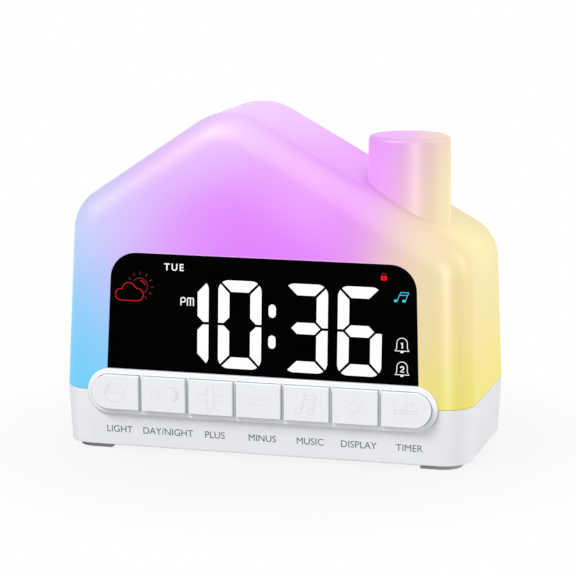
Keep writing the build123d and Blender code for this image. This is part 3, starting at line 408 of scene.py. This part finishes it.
# Display lens: a black acrylic window in a recess of the diffuser, with its upper corners rounded.
# A soft anti-glare coat keeps the room's reflections dim.
LENS_LEAN = radians(2.5)
SMEARS_PER_METRE = 45.0
SMEAR_SWING = 0.12
COAT_ROUGHNESS = 0.16
lens_acrylic, tree, shader = new_finish("lens_acrylic", {"Specular IOR Level": 0.006})
place = add_node(tree, "TexCoord").outputs["Object"]
smear = noise(tree, place, SMEARS_PER_METRE, 4.0)
depth_tint = add_node(tree, "ValToRGB", {"Fac": smear})
depth_tint.color_ramp.elements[0].color = (0.0002, 0.0002, 0.0003, 1.0)
depth_tint.color_ramp.elements[1].color = (0.0007, 0.0007, 0.0008, 1.0)
tree.links.new(depth_tint.outputs["Color"], shader.inputs["Base Color"])
tree.links.new(stretched(tree, smear, SMEAR_SWING, COAT_ROUGHNESS), shader.inputs["Roughness"])
dress(lens_acrylic, "display_lens")

# Digits of the time: seven-segment bars, thin films that show white through the lens.
# The bars are mitred at their ends, with thin dark gaps and rounded outer corners.
DIGIT_WIDTH = 16.9
DIGIT_HEIGHT = 33.5
DIGIT_BOTTOM = 11.3
DIGIT_PITCH = 20.7
DIGIT_ROW_MIDDLE = 4.65
DIGIT_CORNER = 4.0
BAR_WIDTH = 4.35
BAR_GAP = 1.0
MITRE_TURN = 6.25
GLOW_DEPTH = 0.06
COLON_GAP = 5.0
COLON_MIDDLE = 4.45
COLON_WIDTH = 2.85
COLON_HEIGHT = 5.05
COLON_RISES = (22.25, 33.95)
TIME_BARS = ["bc", "abcdef", "abcdg", "acdefg"]
lens_plane = face_matrix(Vector((0, base_front, seam_height)), LENS_LEAN)


def arc(middle, radius, start, end, steps=8):
    """Points along an arc, from one angle to another in degrees."""
    angles = [radians(start + (end - start) * i / steps) for i in range(steps + 1)]
    return [(middle[0] + radius * cos(angle), middle[1] + radius * sin(angle)) for angle in angles]


def both_halves(half):
    """The points of a right half, and their mirror images running back."""
    return half + [(-x, y) for x, y in reversed(half)]


def filled(outlines, depth):
    """A flat plate with the given closed outlines, where an outline inside another is a hole."""
    curve = bpy.data.curves.new("plate", "CURVE")
    curve.dimensions = "2D"
    curve.fill_mode = "BOTH"
    curve.extrude = depth
    for outline in outlines:
        spline = curve.splines.new("POLY")
        spline.points.add(len(outline) - 1)
        for point, (x, y) in zip(spline.points, outline):
            point.co = (x, y, 0, 1)
        spline.use_cyclic_u = True
    return curve


def digit_bars(middle):
    """Outlines of the seven bars of one digit, keyed a to g clockwise from the top and then the middle."""
    half_wide = DIGIT_WIDTH / 2
    half_tall = DIGIT_HEIGHT / 2
    shift = BAR_GAP / sqrt(2)
    core = (half_wide - DIGIT_CORNER, half_tall - DIGIT_CORNER)
    inner = half_wide - BAR_WIDTH
    top_end = arc(core, DIGIT_CORNER, 90, 45 + MITRE_TURN)
    top = both_halves(top_end + [(inner - shift, half_tall - BAR_WIDTH)])
    side = arc(core, DIGIT_CORNER, 45 - MITRE_TURN, 0) + [
        (half_wide, BAR_GAP / 2),
        (half_wide - BAR_WIDTH / 2, BAR_GAP / 2),
        (inner, BAR_WIDTH / 2 + BAR_GAP / 2),
        (inner, half_tall - BAR_WIDTH - shift),
    ]
    tip = half_wide - BAR_WIDTH / 2 - shift
    belt = tip - BAR_WIDTH / 2
    middle_bar = both_halves([(belt, BAR_WIDTH / 2), (tip, 0), (belt, -BAR_WIDTH / 2)])
    bars = {
        "a": top,
        "b": side,
        "c": [(x, -y) for x, y in side],
        "d": [(x, -y) for x, y in top],
        "e": [(-x, -y) for x, y in side],
        "f": [(-x, y) for x, y in side],
        "g": middle_bar,
    }
    rise = DIGIT_BOTTOM + half_tall
    return {name: [(middle + x, rise + y) for x, y in bar] for name, bar in bars.items()}


def rounded_bar(middle, width, height):
    """An upright bar with half-round ends."""
    radius = width / 2
    reach = height / 2 - radius
    top = arc((middle[0], middle[1] + reach), radius, 0, 180)
    bottom = arc((middle[0], middle[1] - reach), radius, 180, 360)
    return top + bottom


def shine_through(name, films, finish):
    """Set films on the lens that shine through it as one piece."""
    make_piece(name, films, lens_plane, finish, "case")


display_white = lit("display_white", (0.03, 0.03, 0.03, 1.0), (0.98, 0.98, 0.98, 1.0), 1.0)
digit_middles = [
    DIGIT_ROW_MIDDLE + side * (DIGIT_PITCH / 2 + COLON_GAP / 2 + outer * DIGIT_PITCH)
    for side, outer in [(-1, 1), (-1, 0), (1, 0), (1, 1)]
]
time_outlines = []
for middle, bars in zip(digit_middles, TIME_BARS):
    shapes = digit_bars(middle)
    time_outlines += [shapes[bar] for bar in bars]
for rise in COLON_RISES:
    time_outlines.append(rounded_bar((COLON_MIDDLE, rise), COLON_WIDTH, COLON_HEIGHT))
shine_through("time_digits", [filled(time_outlines, GLOW_DEPTH)], display_white)

# Display signs: weather, weekday, half of the day, lock, music and the two alarms.
# Each is a thin film that shines through the lens in its own colour.
SIGN_LINE = 0.42
CLOUD_LINE = 0.378
CLOUD_LOBES = [
    ((-55.4, 37.4), 2.2, 270, 75),
    ((-52.2, 39.5), 2.6, 168, 38),
    ((-48.8, 37.6), 2.4, 98, -90),
]
SUN_MIDDLE = (-47.8, 40.95)
SUN_LINE = 0.336
SUN_RADIUS = 3.05
SHINE_RADIUS = 2.05
RAY_REACHES = (4.3, 5.5)
RAY_ANGLES = range(-62, 150, 30)
WEEKDAY_PLACE = (-34.25, 48.6)
WEEKDAY_SIZE = 3.7
WEEKDAY_WEIGHT = 0.06
WEEKDAY_SPACING = 1.3
HALF_DAY_PLACE = (-31.4, 34.35)
HALF_DAY_UPRIGHTS = (0, 1.65, 2.55, 3.75, 4.95)
HALF_DAY_HEIGHT = 3.0
HALF_DAY_BAR = 1.35
HALF_DAY_CORNER = 0.5
LOCK_PLACE = (47.1, 48.45)
LOCK_HALF = [(0.9, 0.8), (1.15, 0.5), (1.15, -0.6), (0.9, -0.9)]
KEYHOLE_HALF = [(0.14, 0.35), (0.14, -0.45)]
SHACKLE_RADIUS = 0.8
SHACKLE_FOOT = 0.9
SHACKLE_RISE = 1.05
SHACKLE_LINE = 0.32
NOTE_LINE = 0.26
NOTE_HEADS = [(51.7, 40.25), (54.8, 40.25)]
NOTE_HEAD_SIZE = (0.7, 0.52)
NOTE_STEMS = [
    [(52.3, 40.4), (53.55, 43.45)],
    [(55.35, 40.4), (56.6, 43.45)],
    [(53.45, 43.4), (56.7, 43.4)],
    [(53.1, 42.4), (56.2, 42.4)],
]
BELL_PLACES = {"alarm_one": ((54.4, 24.45), "1"), "alarm_two": ((54.55, 15.55), "2")}
BELL_LINE = 0.2688
BELL_RADIUS = 2.0
BELL_SKIRT = [(2.0, -1.5), (2.15, -2.1), (2.75, -2.85)]
CLAPPER = [(-0.55, -3.3), (0.55, -3.3)]
CLAPPER_LINE = 0.5
NUMERAL_LINE = 0.46
NUMERAL_DROP = 0.8
NUMERALS = {
    "1": [(-0.5, 0.65), (0.1, 1.05), (0.1, -1.1)],
    "2": arc((0, 0.45), 0.6, 170, -30, 6) + [(-0.6, -1.0), (0.75, -1.0)],
}


def stroke(points, width, depth, closed=False):
    """A flat line of even width along points, open or running back to its start."""
    sides = ([], [])
    count = len(points)
    for i, (x, y) in enumerate(points):
        before = points[i - 1] if closed or i > 0 else points[i]
        after = points[(i + 1) % count] if closed or i < count - 1 else points[i]
        along = Vector((after[0] - before[0], after[1] - before[1])).normalized() * width / 2
        sides[0].append((x - along.y, y + along.x))
        sides[1].append((x + along.y, y - along.x))
    outlines = sides if closed else [sides[0] + sides[1][::-1]]
    return filled(outlines, depth)


def moved(points, place):
    """Points shifted to a place."""
    return [(x + place[0], y + place[1]) for x, y in points]


def spoke(reaches, angle):
    """A line between two distances from the origin, at an angle in degrees."""
    return [(reach * cos(radians(angle)), reach * sin(radians(angle))) for reach in reaches]


def oval(half_wide, half_tall, count=15):
    """Points around an oval about the origin."""
    angles = [tau * i / count for i in range(count)]
    return [(half_wide * cos(angle), half_tall * sin(angle)) for angle in angles]


def letter_top(left, right):
    """The round-cornered top of a letter between two uprights."""
    bend = HALF_DAY_HEIGHT - HALF_DAY_CORNER
    rising = arc((left + HALF_DAY_CORNER, bend), HALF_DAY_CORNER, 180, 90, 2)
    return rising + arc((right - HALF_DAY_CORNER, bend), HALF_DAY_CORNER, 90, 0, 2)


sign_red = lit("sign_red", (0.02, 0.0, 0.0, 1.0), (0.50, 0.007, 0.010, 1.0), 1.0)
sign_dim_red = lit("sign_dim_red", (0.01, 0.0, 0.0, 1.0), (0.17, 0.010, 0.018, 1.0), 1.0)
lock_red = lit("lock_red", (0.02, 0.0, 0.0, 1.0), (0.86, 0.0, 0.002, 1.0), 1.0)
sign_cyan = lit("sign_cyan", (0.0, 0.01, 0.012, 1.0), (0.06, 0.62, 0.84, 1.0), 1.0)

cloud_points = [point for lobe in CLOUD_LOBES for point in arc(*lobe)]
cloud = stroke(cloud_points, CLOUD_LINE, GLOW_DEPTH, closed=True)
shine = stroke(arc(SUN_MIDDLE, SHINE_RADIUS, 85, 12), SIGN_LINE, GLOW_DEPTH)
shine_through("weather_cloud", [cloud, shine], sign_red)
sun_lines = [arc(SUN_MIDDLE, SUN_RADIUS, 142, -58, 16)]
sun_lines += [moved(spoke(RAY_REACHES, angle), SUN_MIDDLE) for angle in RAY_ANGLES]
shine_through("weather_sun", [stroke(line, SUN_LINE, GLOW_DEPTH) for line in sun_lines], sign_dim_red)

weekday = word("TUE", WEEKDAY_PLACE, WEEKDAY_SIZE, GLOW_DEPTH, WEEKDAY_WEIGHT)
weekday.space_character = WEEKDAY_SPACING
shine_through("weekday_word", [weekday], display_white)

first, bowl, left, inner, right = HALF_DAY_UPRIGHTS
bowl_middle = (bowl - HALF_DAY_CORNER, HALF_DAY_BAR + HALF_DAY_CORNER)
bowl_end = arc(bowl_middle, HALF_DAY_CORNER, 0, -90, 2)
half_day_lines = [
    [(first, 0)] + letter_top(first, bowl) + bowl_end,
    [bowl_end[-1], (first, HALF_DAY_BAR)],
    [(left, 0)] + letter_top(left, inner) + [(inner, 0)],
    letter_top(inner, right) + [(right, 0)],
]
half_day = [stroke(moved(line, HALF_DAY_PLACE), SIGN_LINE, GLOW_DEPTH) for line in half_day_lines]
shine_through("half_day_sign", half_day, display_white)

lock_outlines = [moved(both_halves(half), LOCK_PLACE) for half in (LOCK_HALF, KEYHOLE_HALF)]
shine_through("lock_body", [filled(lock_outlines, GLOW_DEPTH)], lock_red)
shackle_bow = arc((0, SHACKLE_RISE), SHACKLE_RADIUS, 180, 0)
shackle = [(-SHACKLE_RADIUS, SHACKLE_FOOT)] + shackle_bow + [(SHACKLE_RADIUS, SHACKLE_FOOT)]
shackle_film = stroke(moved(shackle, LOCK_PLACE), SHACKLE_LINE, GLOW_DEPTH)
shine_through("lock_shackle", [shackle_film], sign_dim_red)

notes = [stroke(line, NOTE_LINE, GLOW_DEPTH) for line in NOTE_STEMS]
notes += [filled([moved(oval(*NOTE_HEAD_SIZE), head)], GLOW_DEPTH) for head in NOTE_HEADS]
shine_through("music_sign", notes, sign_cyan)

bell_points = BELL_SKIRT[::-1] + arc((0, 0), BELL_RADIUS, 0, 180, 14) + [(-x, y) for x, y in BELL_SKIRT]
for alarm, (bell_place, number) in BELL_PLACES.items():
    bell = stroke(moved(bell_points, bell_place), BELL_LINE, GLOW_DEPTH, closed=True)
    clapper = stroke(moved(CLAPPER, bell_place), CLAPPER_LINE, GLOW_DEPTH)
    numeral_place = (bell_place[0], bell_place[1] - NUMERAL_DROP)
    numeral = stroke(moved(NUMERALS[number], numeral_place), NUMERAL_LINE, GLOW_DEPTH)
    shine_through(alarm + "_sign", [bell, clapper, numeral], display_white)

# Diffuser shell: the house itself, moulded in thin milky plastic and lit from inside by coloured lamps.
# Each lamp tints the wall around it, and neighbouring colours melt into each other. A painted highlight
# pales the roof's rolled edges and the rim around the lens, and a paler band runs below the roof's edge.
# Painted shade dims upward faces, faces turned to the left and the roof at the chimney's collar,
# and a painted shade of deeper violet lies on the roof's upward faces near its crest.
GLOW_LAMPS = [
    ((-95, 0, 24), 27, 1.09, (0.12, 0.56, 0.86)),
    ((-50, 0, 72), 27, 0.21, (0.60, 0.60, 0.87)),
    ((-3, -10, 69), 26, 0.61, (0.68, 0.15, 0.88)),
    ((-20, 0, 126), 18, 0.85, (0.75, 0.51, 0.90)),
    ((14, -10, 95), 13, 0.72, (0.80, 0.38, 0.96)),
    ((69, 0, 61), 23, 0.54, (0.78, 0.66, 0.35)),
    ((105, 0, 18), 26, 1.04, (0.76, 0.67, 0.08)),
    ((83, 0, 90), 12, 0.43, (0.99, 0.87, 0.40)),
]
LAMP_FADE = 0.6
PALE_GLOW = (0.97, 0.93, 0.97, 1.0)
ROOF_SHADE_COLOR = (0.80, 0.25, 0.95, 1.0)
PEAK_SHIFT = -16.8
PEAK_RISE = 110.6
LEFT_SLOPE = 0.68
RIGHT_SLOPE = -0.56
EDGE_HIGHLIGHT = 0.38
CREST_MIDDLE = 14.0
CREST_REACH = 34.0
CREST_FLAT = 8.0
CREST_HIGHLIGHT = 0.5
BAND_DROP = 14.0
BAND_REACH = 20.0
BAND_FLAT = 4.0
BAND_PALENESS = 0.065
ROOF_SHADE_TINT = 0.33
TOP_SHADE = 0.1
LEFT_SHADE = 0.42
COLLAR_SHADE_REACH = 4.0
COLLAR_SHADE_FLAT = 1.8
PAINTED_COLLAR_SHADE = 0.14
LENS_CORNER = 10.0
LENS_TAPER = 0.0367
RIM_WIDTH = 0.4
RIM_HIGHLIGHT = 0.3
FRONT_FACING = -0.97
SKIN_SHARE = 0.4
SHELL_SHINE = 0.62
SHELL_POLISH = 0.45
SHELL_GRAIN = 1500.0
SHELL_GRAIN_DEPTH = 0.015
glow_group, glow_in, glow_out = new_group(
    "lamp_glow",
    [("Skin share", "Float"), ("Painted collar shade", "Float"), ("Lamp shift", "Vector")],
    [("Glow", "Color"), ("Skin", "Color")],
)


def glow_math(operation, first, second=0.0):
    """One sum of two values in the glow."""
    return math_node(glow_group, operation, first, second)


def glow_vector(operation, inputs):
    """One sum of vectors or colours in the glow."""
    return vector_node(glow_group, operation, inputs)


def ramp(value, zero, one):
    """0 up to one value, rising or falling evenly to 1 at another."""
    ends = {"Value": value, "From Min": zero, "From Max": one}
    return add_node(glow_group, "MapRange", ends).outputs["Result"]


def closeness(value, middle, reach, flat):
    """1 where a length lies within flat of its middle, fading to 0 at its reach, in millimetres."""
    away = glow_math("ABSOLUTE", glow_math("SUBTRACT", value, middle * MM))
    return ramp(away, reach * MM, flat * MM)


def blend(color, tint, share):
    """A colour mixed with a share of another."""
    mixed = {"Factor": share, "A": color, "B": tint}
    return add_node(glow_group, "Mix", mixed, data_type="RGBA").outputs["Result"]


place = add_node(glow_group, "TexCoord").outputs["Object"]
at = add_node(glow_group, "SeparateXYZ", {0: place}).outputs
normal = add_node(glow_group, "NewGeometry").outputs["Normal"]
facing = add_node(glow_group, "SeparateXYZ", {0: normal}).outputs

shifted = glow_vector("ADD", {0: place, 1: glow_in["Lamp shift"]})
total_color = (0.0, 0.0, 0.0)
total_weight = 0.0
for lamp, reach, strength, color in GLOW_LAMPS:
    lamp_place = tuple(MM * value for value in lamp)
    away = glow_vector("DISTANCE", {0: shifted, 1: lamp_place})
    share = glow_math("POWER", glow_math("DIVIDE", away, reach * MM), 2.0)
    weight = glow_math("MULTIPLY", glow_math("POWER", LAMP_FADE, share), strength)
    tint = glow_vector("SCALE", {0: color, "Scale": weight})
    total_color = glow_vector("ADD", {0: total_color, 1: tint})
    total_weight = glow_math("ADD", weight, total_weight)
lamp_glow = glow_vector("SCALE", {0: total_color, "Scale": glow_math("DIVIDE", 1.0, total_weight)})

cap_low, cap_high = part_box("chimney_button")
cap_middle = ((cap_low.x + cap_high.x) / 2, (cap_low.y + cap_high.y) / 2, 0.0)
cap_radius = (cap_high.y - cap_low.y) / 2
upward = glow_math("MAXIMUM", facing["Z"], 0.0)
roof_turn = glow_math("POWER", upward, 4.0)
edge_turn = glow_math("POWER", glow_math("MULTIPLY", facing["Y"], upward), 2.0)
crest = closeness(at["X"], CREST_MIDDLE, CREST_REACH, CREST_FLAT)
from_peak = glow_math("SUBTRACT", at["X"], PEAK_SHIFT * MM)
left_line = glow_math("MULTIPLY", from_peak, LEFT_SLOPE)
right_line = glow_math("MULTIPLY", from_peak, RIGHT_SLOPE)
roof_line = glow_math("ADD", glow_math("MINIMUM", left_line, right_line), seam_height + PEAK_RISE * MM)
band = closeness(glow_math("SUBTRACT", roof_line, at["Z"]), BAND_DROP, BAND_REACH, BAND_FLAT)
beside_cap = ramp(at["X"], cap_low.x, cap_low.x - cap_radius)
on_face = glow_math("MULTIPLY", glow_math("ABSOLUTE", facing["Y"]), beside_cap)
face_band = glow_math("MULTIPLY", band, on_face)
# Painted highlight: the roof's rolled edges are mixed towards a pale colour, most strongly near the crest.
edge_highlight_strength = stretched(glow_group, crest, CREST_HIGHLIGHT, EDGE_HIGHLIGHT)
edge_highlight = glow_math("MULTIPLY", edge_turn, edge_highlight_strength)
pale_share = stretched(glow_group, face_band, BAND_PALENESS, edge_highlight)
# Painted shade: upward faces near the crest are mixed towards a deeper violet.
roof_shade_share = glow_math("MULTIPLY", glow_math("MULTIPLY", roof_turn, crest), ROOF_SHADE_TINT)
wall_glow = blend(blend(lamp_glow, PALE_GLOW, pale_share), ROOF_SHADE_COLOR, roof_shade_share)

# Painted highlight: a thin paler line on the front wall around the lens's outline.
lens_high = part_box("display_lens")[1]
above_seam = glow_math("SUBTRACT", at["Z"], seam_height)
from_middle = stretched(glow_group, above_seam, LENS_TAPER, glow_math("ABSOLUTE", at["X"]))
past_side = glow_math("SUBTRACT", from_middle, lens_high.x - LENS_CORNER * MM)
past_top = glow_math("SUBTRACT", at["Z"], lens_high.z - LENS_CORNER * MM)
past_core = add_node(
    glow_group,
    "CombineXYZ",
    {"X": glow_math("MAXIMUM", past_side, 0.0), "Y": glow_math("MAXIMUM", past_top, 0.0)},
).outputs[0]
from_core = glow_vector("LENGTH", {0: past_core})
near_lens = glow_math("LESS_THAN", from_core, (LENS_CORNER + RIM_WIDTH) * MM)
front_wall = glow_math("LESS_THAN", facing["Y"], FRONT_FACING)
rim_highlight_share = glow_math("MULTIPLY", glow_math("MULTIPLY", near_lens, front_wall), RIM_HIGHLIGHT)
rim_highlighted = blend(wall_glow, PALE_GLOW, rim_highlight_share)

# Painted shade: a darker ring on the roof around the chimney's foot, fading out towards its right side.
on_floor = glow_vector("MULTIPLY", {0: place, 1: (1.0, 1.0, 0.0)})
from_wall = glow_math("SUBTRACT", glow_vector("DISTANCE", {0: on_floor, 1: cap_middle}), cap_radius)
collar_shade_ring = ramp(from_wall, COLLAR_SHADE_REACH * MM, COLLAR_SHADE_FLAT * MM)
uphill = ramp(at["X"], cap_high.x, cap_high.x - cap_radius / 2)
collar = glow_math("MULTIPLY", collar_shade_ring, uphill)
painted_collar_shade = glow_math("SUBTRACT", 1.0, glow_math("MULTIPLY", collar, glow_in["Painted collar shade"]))
# Painted shade: upward faces and faces turned to the left are dimmed against the studio light falling on
# them.
top_shade = stretched(glow_group, roof_turn, -TOP_SHADE, 1.0)
left_turn = glow_math("MULTIPLY", glow_math("MINIMUM", facing["X"], 0.0), upward)
left_shade = stretched(glow_group, left_turn, LEFT_SHADE, 1.0)
painted_dimming = glow_math("MULTIPLY", glow_math("MULTIPLY", top_shade, painted_collar_shade), left_shade)
shone = glow_vector("SCALE", {0: rim_highlighted, "Scale": painted_dimming})
skin = glow_vector("SCALE", {0: shone, "Scale": glow_in["Skin share"]})
glow_group.links.new(shone, glow_out["Glow"])
glow_group.links.new(skin, glow_out["Skin"])


def milky(name, painted_collar_shade, lamp_shift):
    """Milky plastic that glows from inside, with a soft satin skin."""
    finish, tree, shader = new_finish(name, {"Emission Strength": SHELL_SHINE, "Specular IOR Level": 0.5})
    shift = (lamp_shift * MM, 0.0, 0.0)
    values = {"Skin share": SKIN_SHARE, "Painted collar shade": painted_collar_shade, "Lamp shift": shift}
    glow = place_group(tree, glow_group, values)
    grained = place_group(tree, grain_group, {"Roughness": SHELL_POLISH, "Grain per metre": SHELL_GRAIN})
    tree.links.new(glow["Skin"], shader.inputs["Base Color"])
    tree.links.new(glow["Glow"], shader.inputs["Emission Color"])
    tree.links.new(grained["Roughness"], shader.inputs["Roughness"])
    raise_grain(tree, shader, grained["Height"], SHELL_GRAIN_DEPTH)
    return finish


dress(milky("milky_shell", PAINTED_COLLAR_SHADE, 0.0), "diffuser_shell")

# Chimney button: a push cap of the same milky plastic, standing in the collar of the roof.
# It slides in the collar on two lugs, and the same lamps light it from below.
CAP_LAMP_SHIFT = -3.5
dress(milky("milky_cap", 0.0, CAP_LAMP_SHIFT), "chimney_button")

# Key bezel and keys: a white bar across the seam with seven keys in it, and three keys at the back.
# All are moulded in the base's white, the keys a little smoother where fingers meet them.
dress(satin_white, "key_bezel")
key_white = moulded(
    "key_white", (0.80, 0.81, 0.835, 1.0), roughness=0.38, mottle=0.04, grain=FINE_GRAIN, depth=0.012
)
dress(key_white, *[key + "_key" for key in FRONT_KEYS + REAR_KEYS])

# Key signs: raised lines moulded on the front of each key, to be felt in the dark.
# They stand a few hundredths of a millimetre proud, and their touch of grey against the key is painted
# shade.
RELIEF = 0.05
RELIEF_LINE = 0.32
SUN_PLACE = (-3.2, 0.2)
SUN_RAYS = (2.1, 2.9)
BRIGHT_RAYS = (2.9, 4.2)


def cross_outline(reach_x, reach_y, arm):
    """The outline of a cross about the origin, with the half width of its arms."""
    half = [(reach_x, -arm), (reach_x, arm), (arm, arm), (arm, reach_y), (-arm, reach_y), (-arm, arm)]
    return half + [(-x, -y) for x, y in half]


KEY_SIGNS = {
    "dimmer": [
        (arc((0, 0), 3.9, 0, 345, 22), True),
        ([(-3.6, 0), (3.6, 0)], False),
        ([(-2.3, 3.0), (-2.3, 0.2)], False),
    ],
    "day_night": [
        (arc(SUN_PLACE, 1.5, 0, 330, 11), True),
        (arc((3.4, 0.3), 3.0, -70, 110, 12) + arc((2.2, 0.5), 2.6, 95, -60, 12), True),
        ([(0.6, 2.0), (1.6, 2.0)], False),
        ([(0.4, -1.6), (1.2, -1.6)], False),
    ],
    "plus": [(cross_outline(4.6, 4.3, 1.2), True)],
    "minus": [(both_halves([(4.3, 1.3), (4.3, -1.3)]), True)],
    "sound": [
        (arc((-2.9, -2.6), 1.2, 0, 330, 11), True),
        (arc((1.5, -2.8), 1.2, 0, 330, 11), True),
        ([(-1.8, -2.2), (-0.5, 3.4)], False),
        ([(2.6, -2.4), (3.9, 3.4)], False),
        ([(-0.5, 3.4), (3.9, 3.4)], False),
        ([(-0.9, 1.9), (3.5, 1.9)], False),
    ],
    "brightness": [(arc((0, 0), 1.9, 0, 340, 18), True)],
    "sleep": [
        ([(-4.4, 2.6), (-4.4, -2.4)], False),
        ([(-4.4, -1.2), (4.4, -1.2), (4.4, -2.4)], False),
        ([(-3.4, -0.9), (-3.4, 0.3), (4.2, -0.4)], False),
        ([(-1.0, 1.4), (0.8, 1.4), (-0.8, 0.6), (0.9, 0.6)], False),
        ([(1.2, 3.0), (3.4, 3.0), (1.5, 1.9), (3.6, 1.9)], False),
    ],
}
for angle in range(0, 360, 45):
    KEY_SIGNS["brightness"].append((spoke(BRIGHT_RAYS, angle), False))
    KEY_SIGNS["day_night"].append((moved(spoke(SUN_RAYS, angle), SUN_PLACE), False))
relief_shade = moulded(
    "relief_shade", (0.71, 0.72, 0.745, 1.0), roughness=0.4, mottle=0.04, grain=FINE_GRAIN, depth=0.012
)
for key, lines in KEY_SIGNS.items():
    key_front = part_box(key + "_key")[0].y
    sign_plane = face_matrix(Vector((key_middle(key) * MM, key_front, seam_height)), 0)
    reliefs = [stroke(line, RELIEF_LINE, RELIEF, closed) for line, closed in lines]
    make_piece(key + "_sign", reliefs, sign_plane, relief_shade, key + "_button")

# Recess of the door screw: the cross that a driver fits, pressed into the head under the battery door.
# The recess lies in shadow, and a thin dark cross laid on the plated steel head is its painted shade.
CROSS_REACH = 0.55
CROSS_ARM = 0.14
head_low, head_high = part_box("battery_door_screw")
head_radius = (head_high.x - head_low.x) / 2 / MM
cross_tip = CROSS_REACH * head_radius
cross = cross_outline(cross_tip, cross_tip, CROSS_ARM * head_radius)
head_middle = Vector(((head_low.x + head_high.x) / 2, (head_low.y + head_high.y) / 2, head_low.z))
head_plane = Matrix.Translation(head_middle) @ Matrix.Rotation(radians(180), 4, "X") @ Matrix.Scale(MM, 4)
recess_shade = drawn_metal("recess_shade", (0.05, 0.05, 0.052, 1.0), roughness=0.6, lines=4000.0)
make_piece("door_screw_cross_shade", [filled([cross], INK_DEPTH)], head_plane, recess_shade, "case")

# Floor, light and camera: a sheet of white paper under soft boxes, as in a small product studio.
# The paper burns out to plain white away from the clock and keeps a faint shadow close to it.
FLOOR_SIZE = 6.0
PAPER_WHITE = (1.0, 1.0, 1.0, 1.0)
SHADOW_NEAR = 0.06
SHADOW_FAR = 0.16
NEAR_SHARE = 0.88
AMBIENT_COLOR = (0.95, 0.97, 1.0, 1.0)
AMBIENT_STRENGTH = 0.31
CAMERA_TURN = radians(15.573)
CAMERA_RISE = radians(10.349)
CAMERA_LENS = 153.6
CAMERA_DISTANCE = 0.9537
CAMERA_TARGET = Vector((0.00046, 0.0011, 0.05965))
floor_mesh = bpy.data.meshes.new("floor")
corner = FLOOR_SIZE / 2
floor_mesh.from_pydata(
    [(-corner, -corner, 0), (corner, -corner, 0), (corner, corner, 0), (-corner, corner, 0)],
    [],
    [(0, 1, 2, 3)],
)
floor = bpy.data.objects.new("floor", floor_mesh)
bpy.context.scene.collection.objects.link(floor)


def seen_directly(tree):
    """1 for rays from the camera, mirrors and glass, which see the plain white of the studio."""
    path = add_node(tree, "LightPath").outputs
    bounced = math_node(tree, "MAXIMUM", path["Is Glossy Ray"], path["Is Transmission Ray"])
    return math_node(tree, "MAXIMUM", path["Is Camera Ray"], bounced)


floor_paper, tree, shader = new_finish(
    "floor_paper", {"Base Color": (0.3, 0.3, 0.3, 1.0), "Roughness": 0.9, "Specular IOR Level": 0.0}
)
white = add_node(tree, "Emission", {"Color": PAPER_WHITE, "Strength": 1.0}).outputs["Emission"]
from_clock = vector_node(tree, "LENGTH", {0: add_node(tree, "TexCoord").outputs["Object"]})
burnt = add_node(
    tree,
    "MapRange",
    {"Value": from_clock, "From Min": SHADOW_NEAR, "From Max": SHADOW_FAR, "To Min": NEAR_SHARE},
).outputs["Result"]
white_share = math_node(tree, "MULTIPLY", seen_directly(tree), burnt)
paper = add_node(tree, "MixShader", {"Fac": white_share, 1: shader.outputs["BSDF"], 2: white}).outputs[0]
clear = add_node(tree, "BsdfTransparent").outputs[0]
under = add_node(tree, "NewGeometry").outputs["Backfacing"]
sheet = add_node(tree, "MixShader", {"Fac": under, 1: paper, 2: clear}).outputs[0]
tree.links.new(sheet, tree.nodes["Material Output"].inputs["Surface"])
floor_mesh.materials.append(floor_paper)

studio = bpy.data.worlds.new("studio")
studio.use_nodes = True
bpy.context.scene.world = studio
tree = studio.node_tree
ambient = tree.nodes["Background"]
ambient.inputs["Color"].default_value = AMBIENT_COLOR
ambient.inputs["Strength"].default_value = AMBIENT_STRENGTH
backdrop = add_node(tree, "Background", {"Color": PAPER_WHITE, "Strength": 1.0}).outputs[0]
sky_layers = {"Fac": seen_directly(tree), 1: ambient.outputs[0], 2: backdrop}
sky = add_node(tree, "MixShader", sky_layers).outputs[0]
tree.links.new(sky, tree.nodes["World Output"].inputs["Surface"])


def soft_light(name, place, width, height, power, spread=True, mirrored=True):
    """A soft box that faces the middle of the clock, with or without its spread and its mirror image."""
    lamp = bpy.data.lights.new(name, "AREA")
    lamp.shape = "RECTANGLE"
    lamp.size = width
    lamp.size_y = height
    lamp.energy = power
    box = bpy.data.objects.new(name, lamp)
    box.location = place
    box.rotation_mode = "QUATERNION"
    box.rotation_quaternion = (CAMERA_TARGET - Vector(place)).to_track_quat("-Z", "Y")
    box.visible_diffuse = spread
    box.visible_glossy = mirrored
    bpy.context.scene.collection.objects.link(box)


soft_light("key_light", (-0.65, -0.75, 1.05), width=0.6, height=0.6, power=17.8)
soft_light("strip_light", (0.6, -0.92, 0.25), width=0.14, height=0.46, power=3.9)
soft_light("gleam_light", (0.5, -0.88, 0.14), width=0.1, height=0.26, power=5.5, spread=False)
soft_light("side_light", (1.0, 0.25, 0.4), width=0.5, height=0.9, power=6.6)
soft_light("back_light", (-0.15, 1.15, 0.3), width=0.6, height=0.6, power=8.0, mirrored=False)

camera_data = bpy.data.cameras.new("camera")
camera_data.lens = CAMERA_LENS
camera = bpy.data.objects.new("camera", camera_data)
back = Vector(
    (sin(CAMERA_TURN) * cos(CAMERA_RISE), -cos(CAMERA_TURN) * cos(CAMERA_RISE), sin(CAMERA_RISE))
)
camera.location = CAMERA_TARGET + back * CAMERA_DISTANCE
camera.rotation_mode = "QUATERNION"
camera.rotation_quaternion = (-back).to_track_quat("-Z", "Y")
bpy.context.scene.collection.objects.link(camera)
bpy.context.scene.camera = camera
bpy.context.scene.view_settings.view_transform = "Standard"
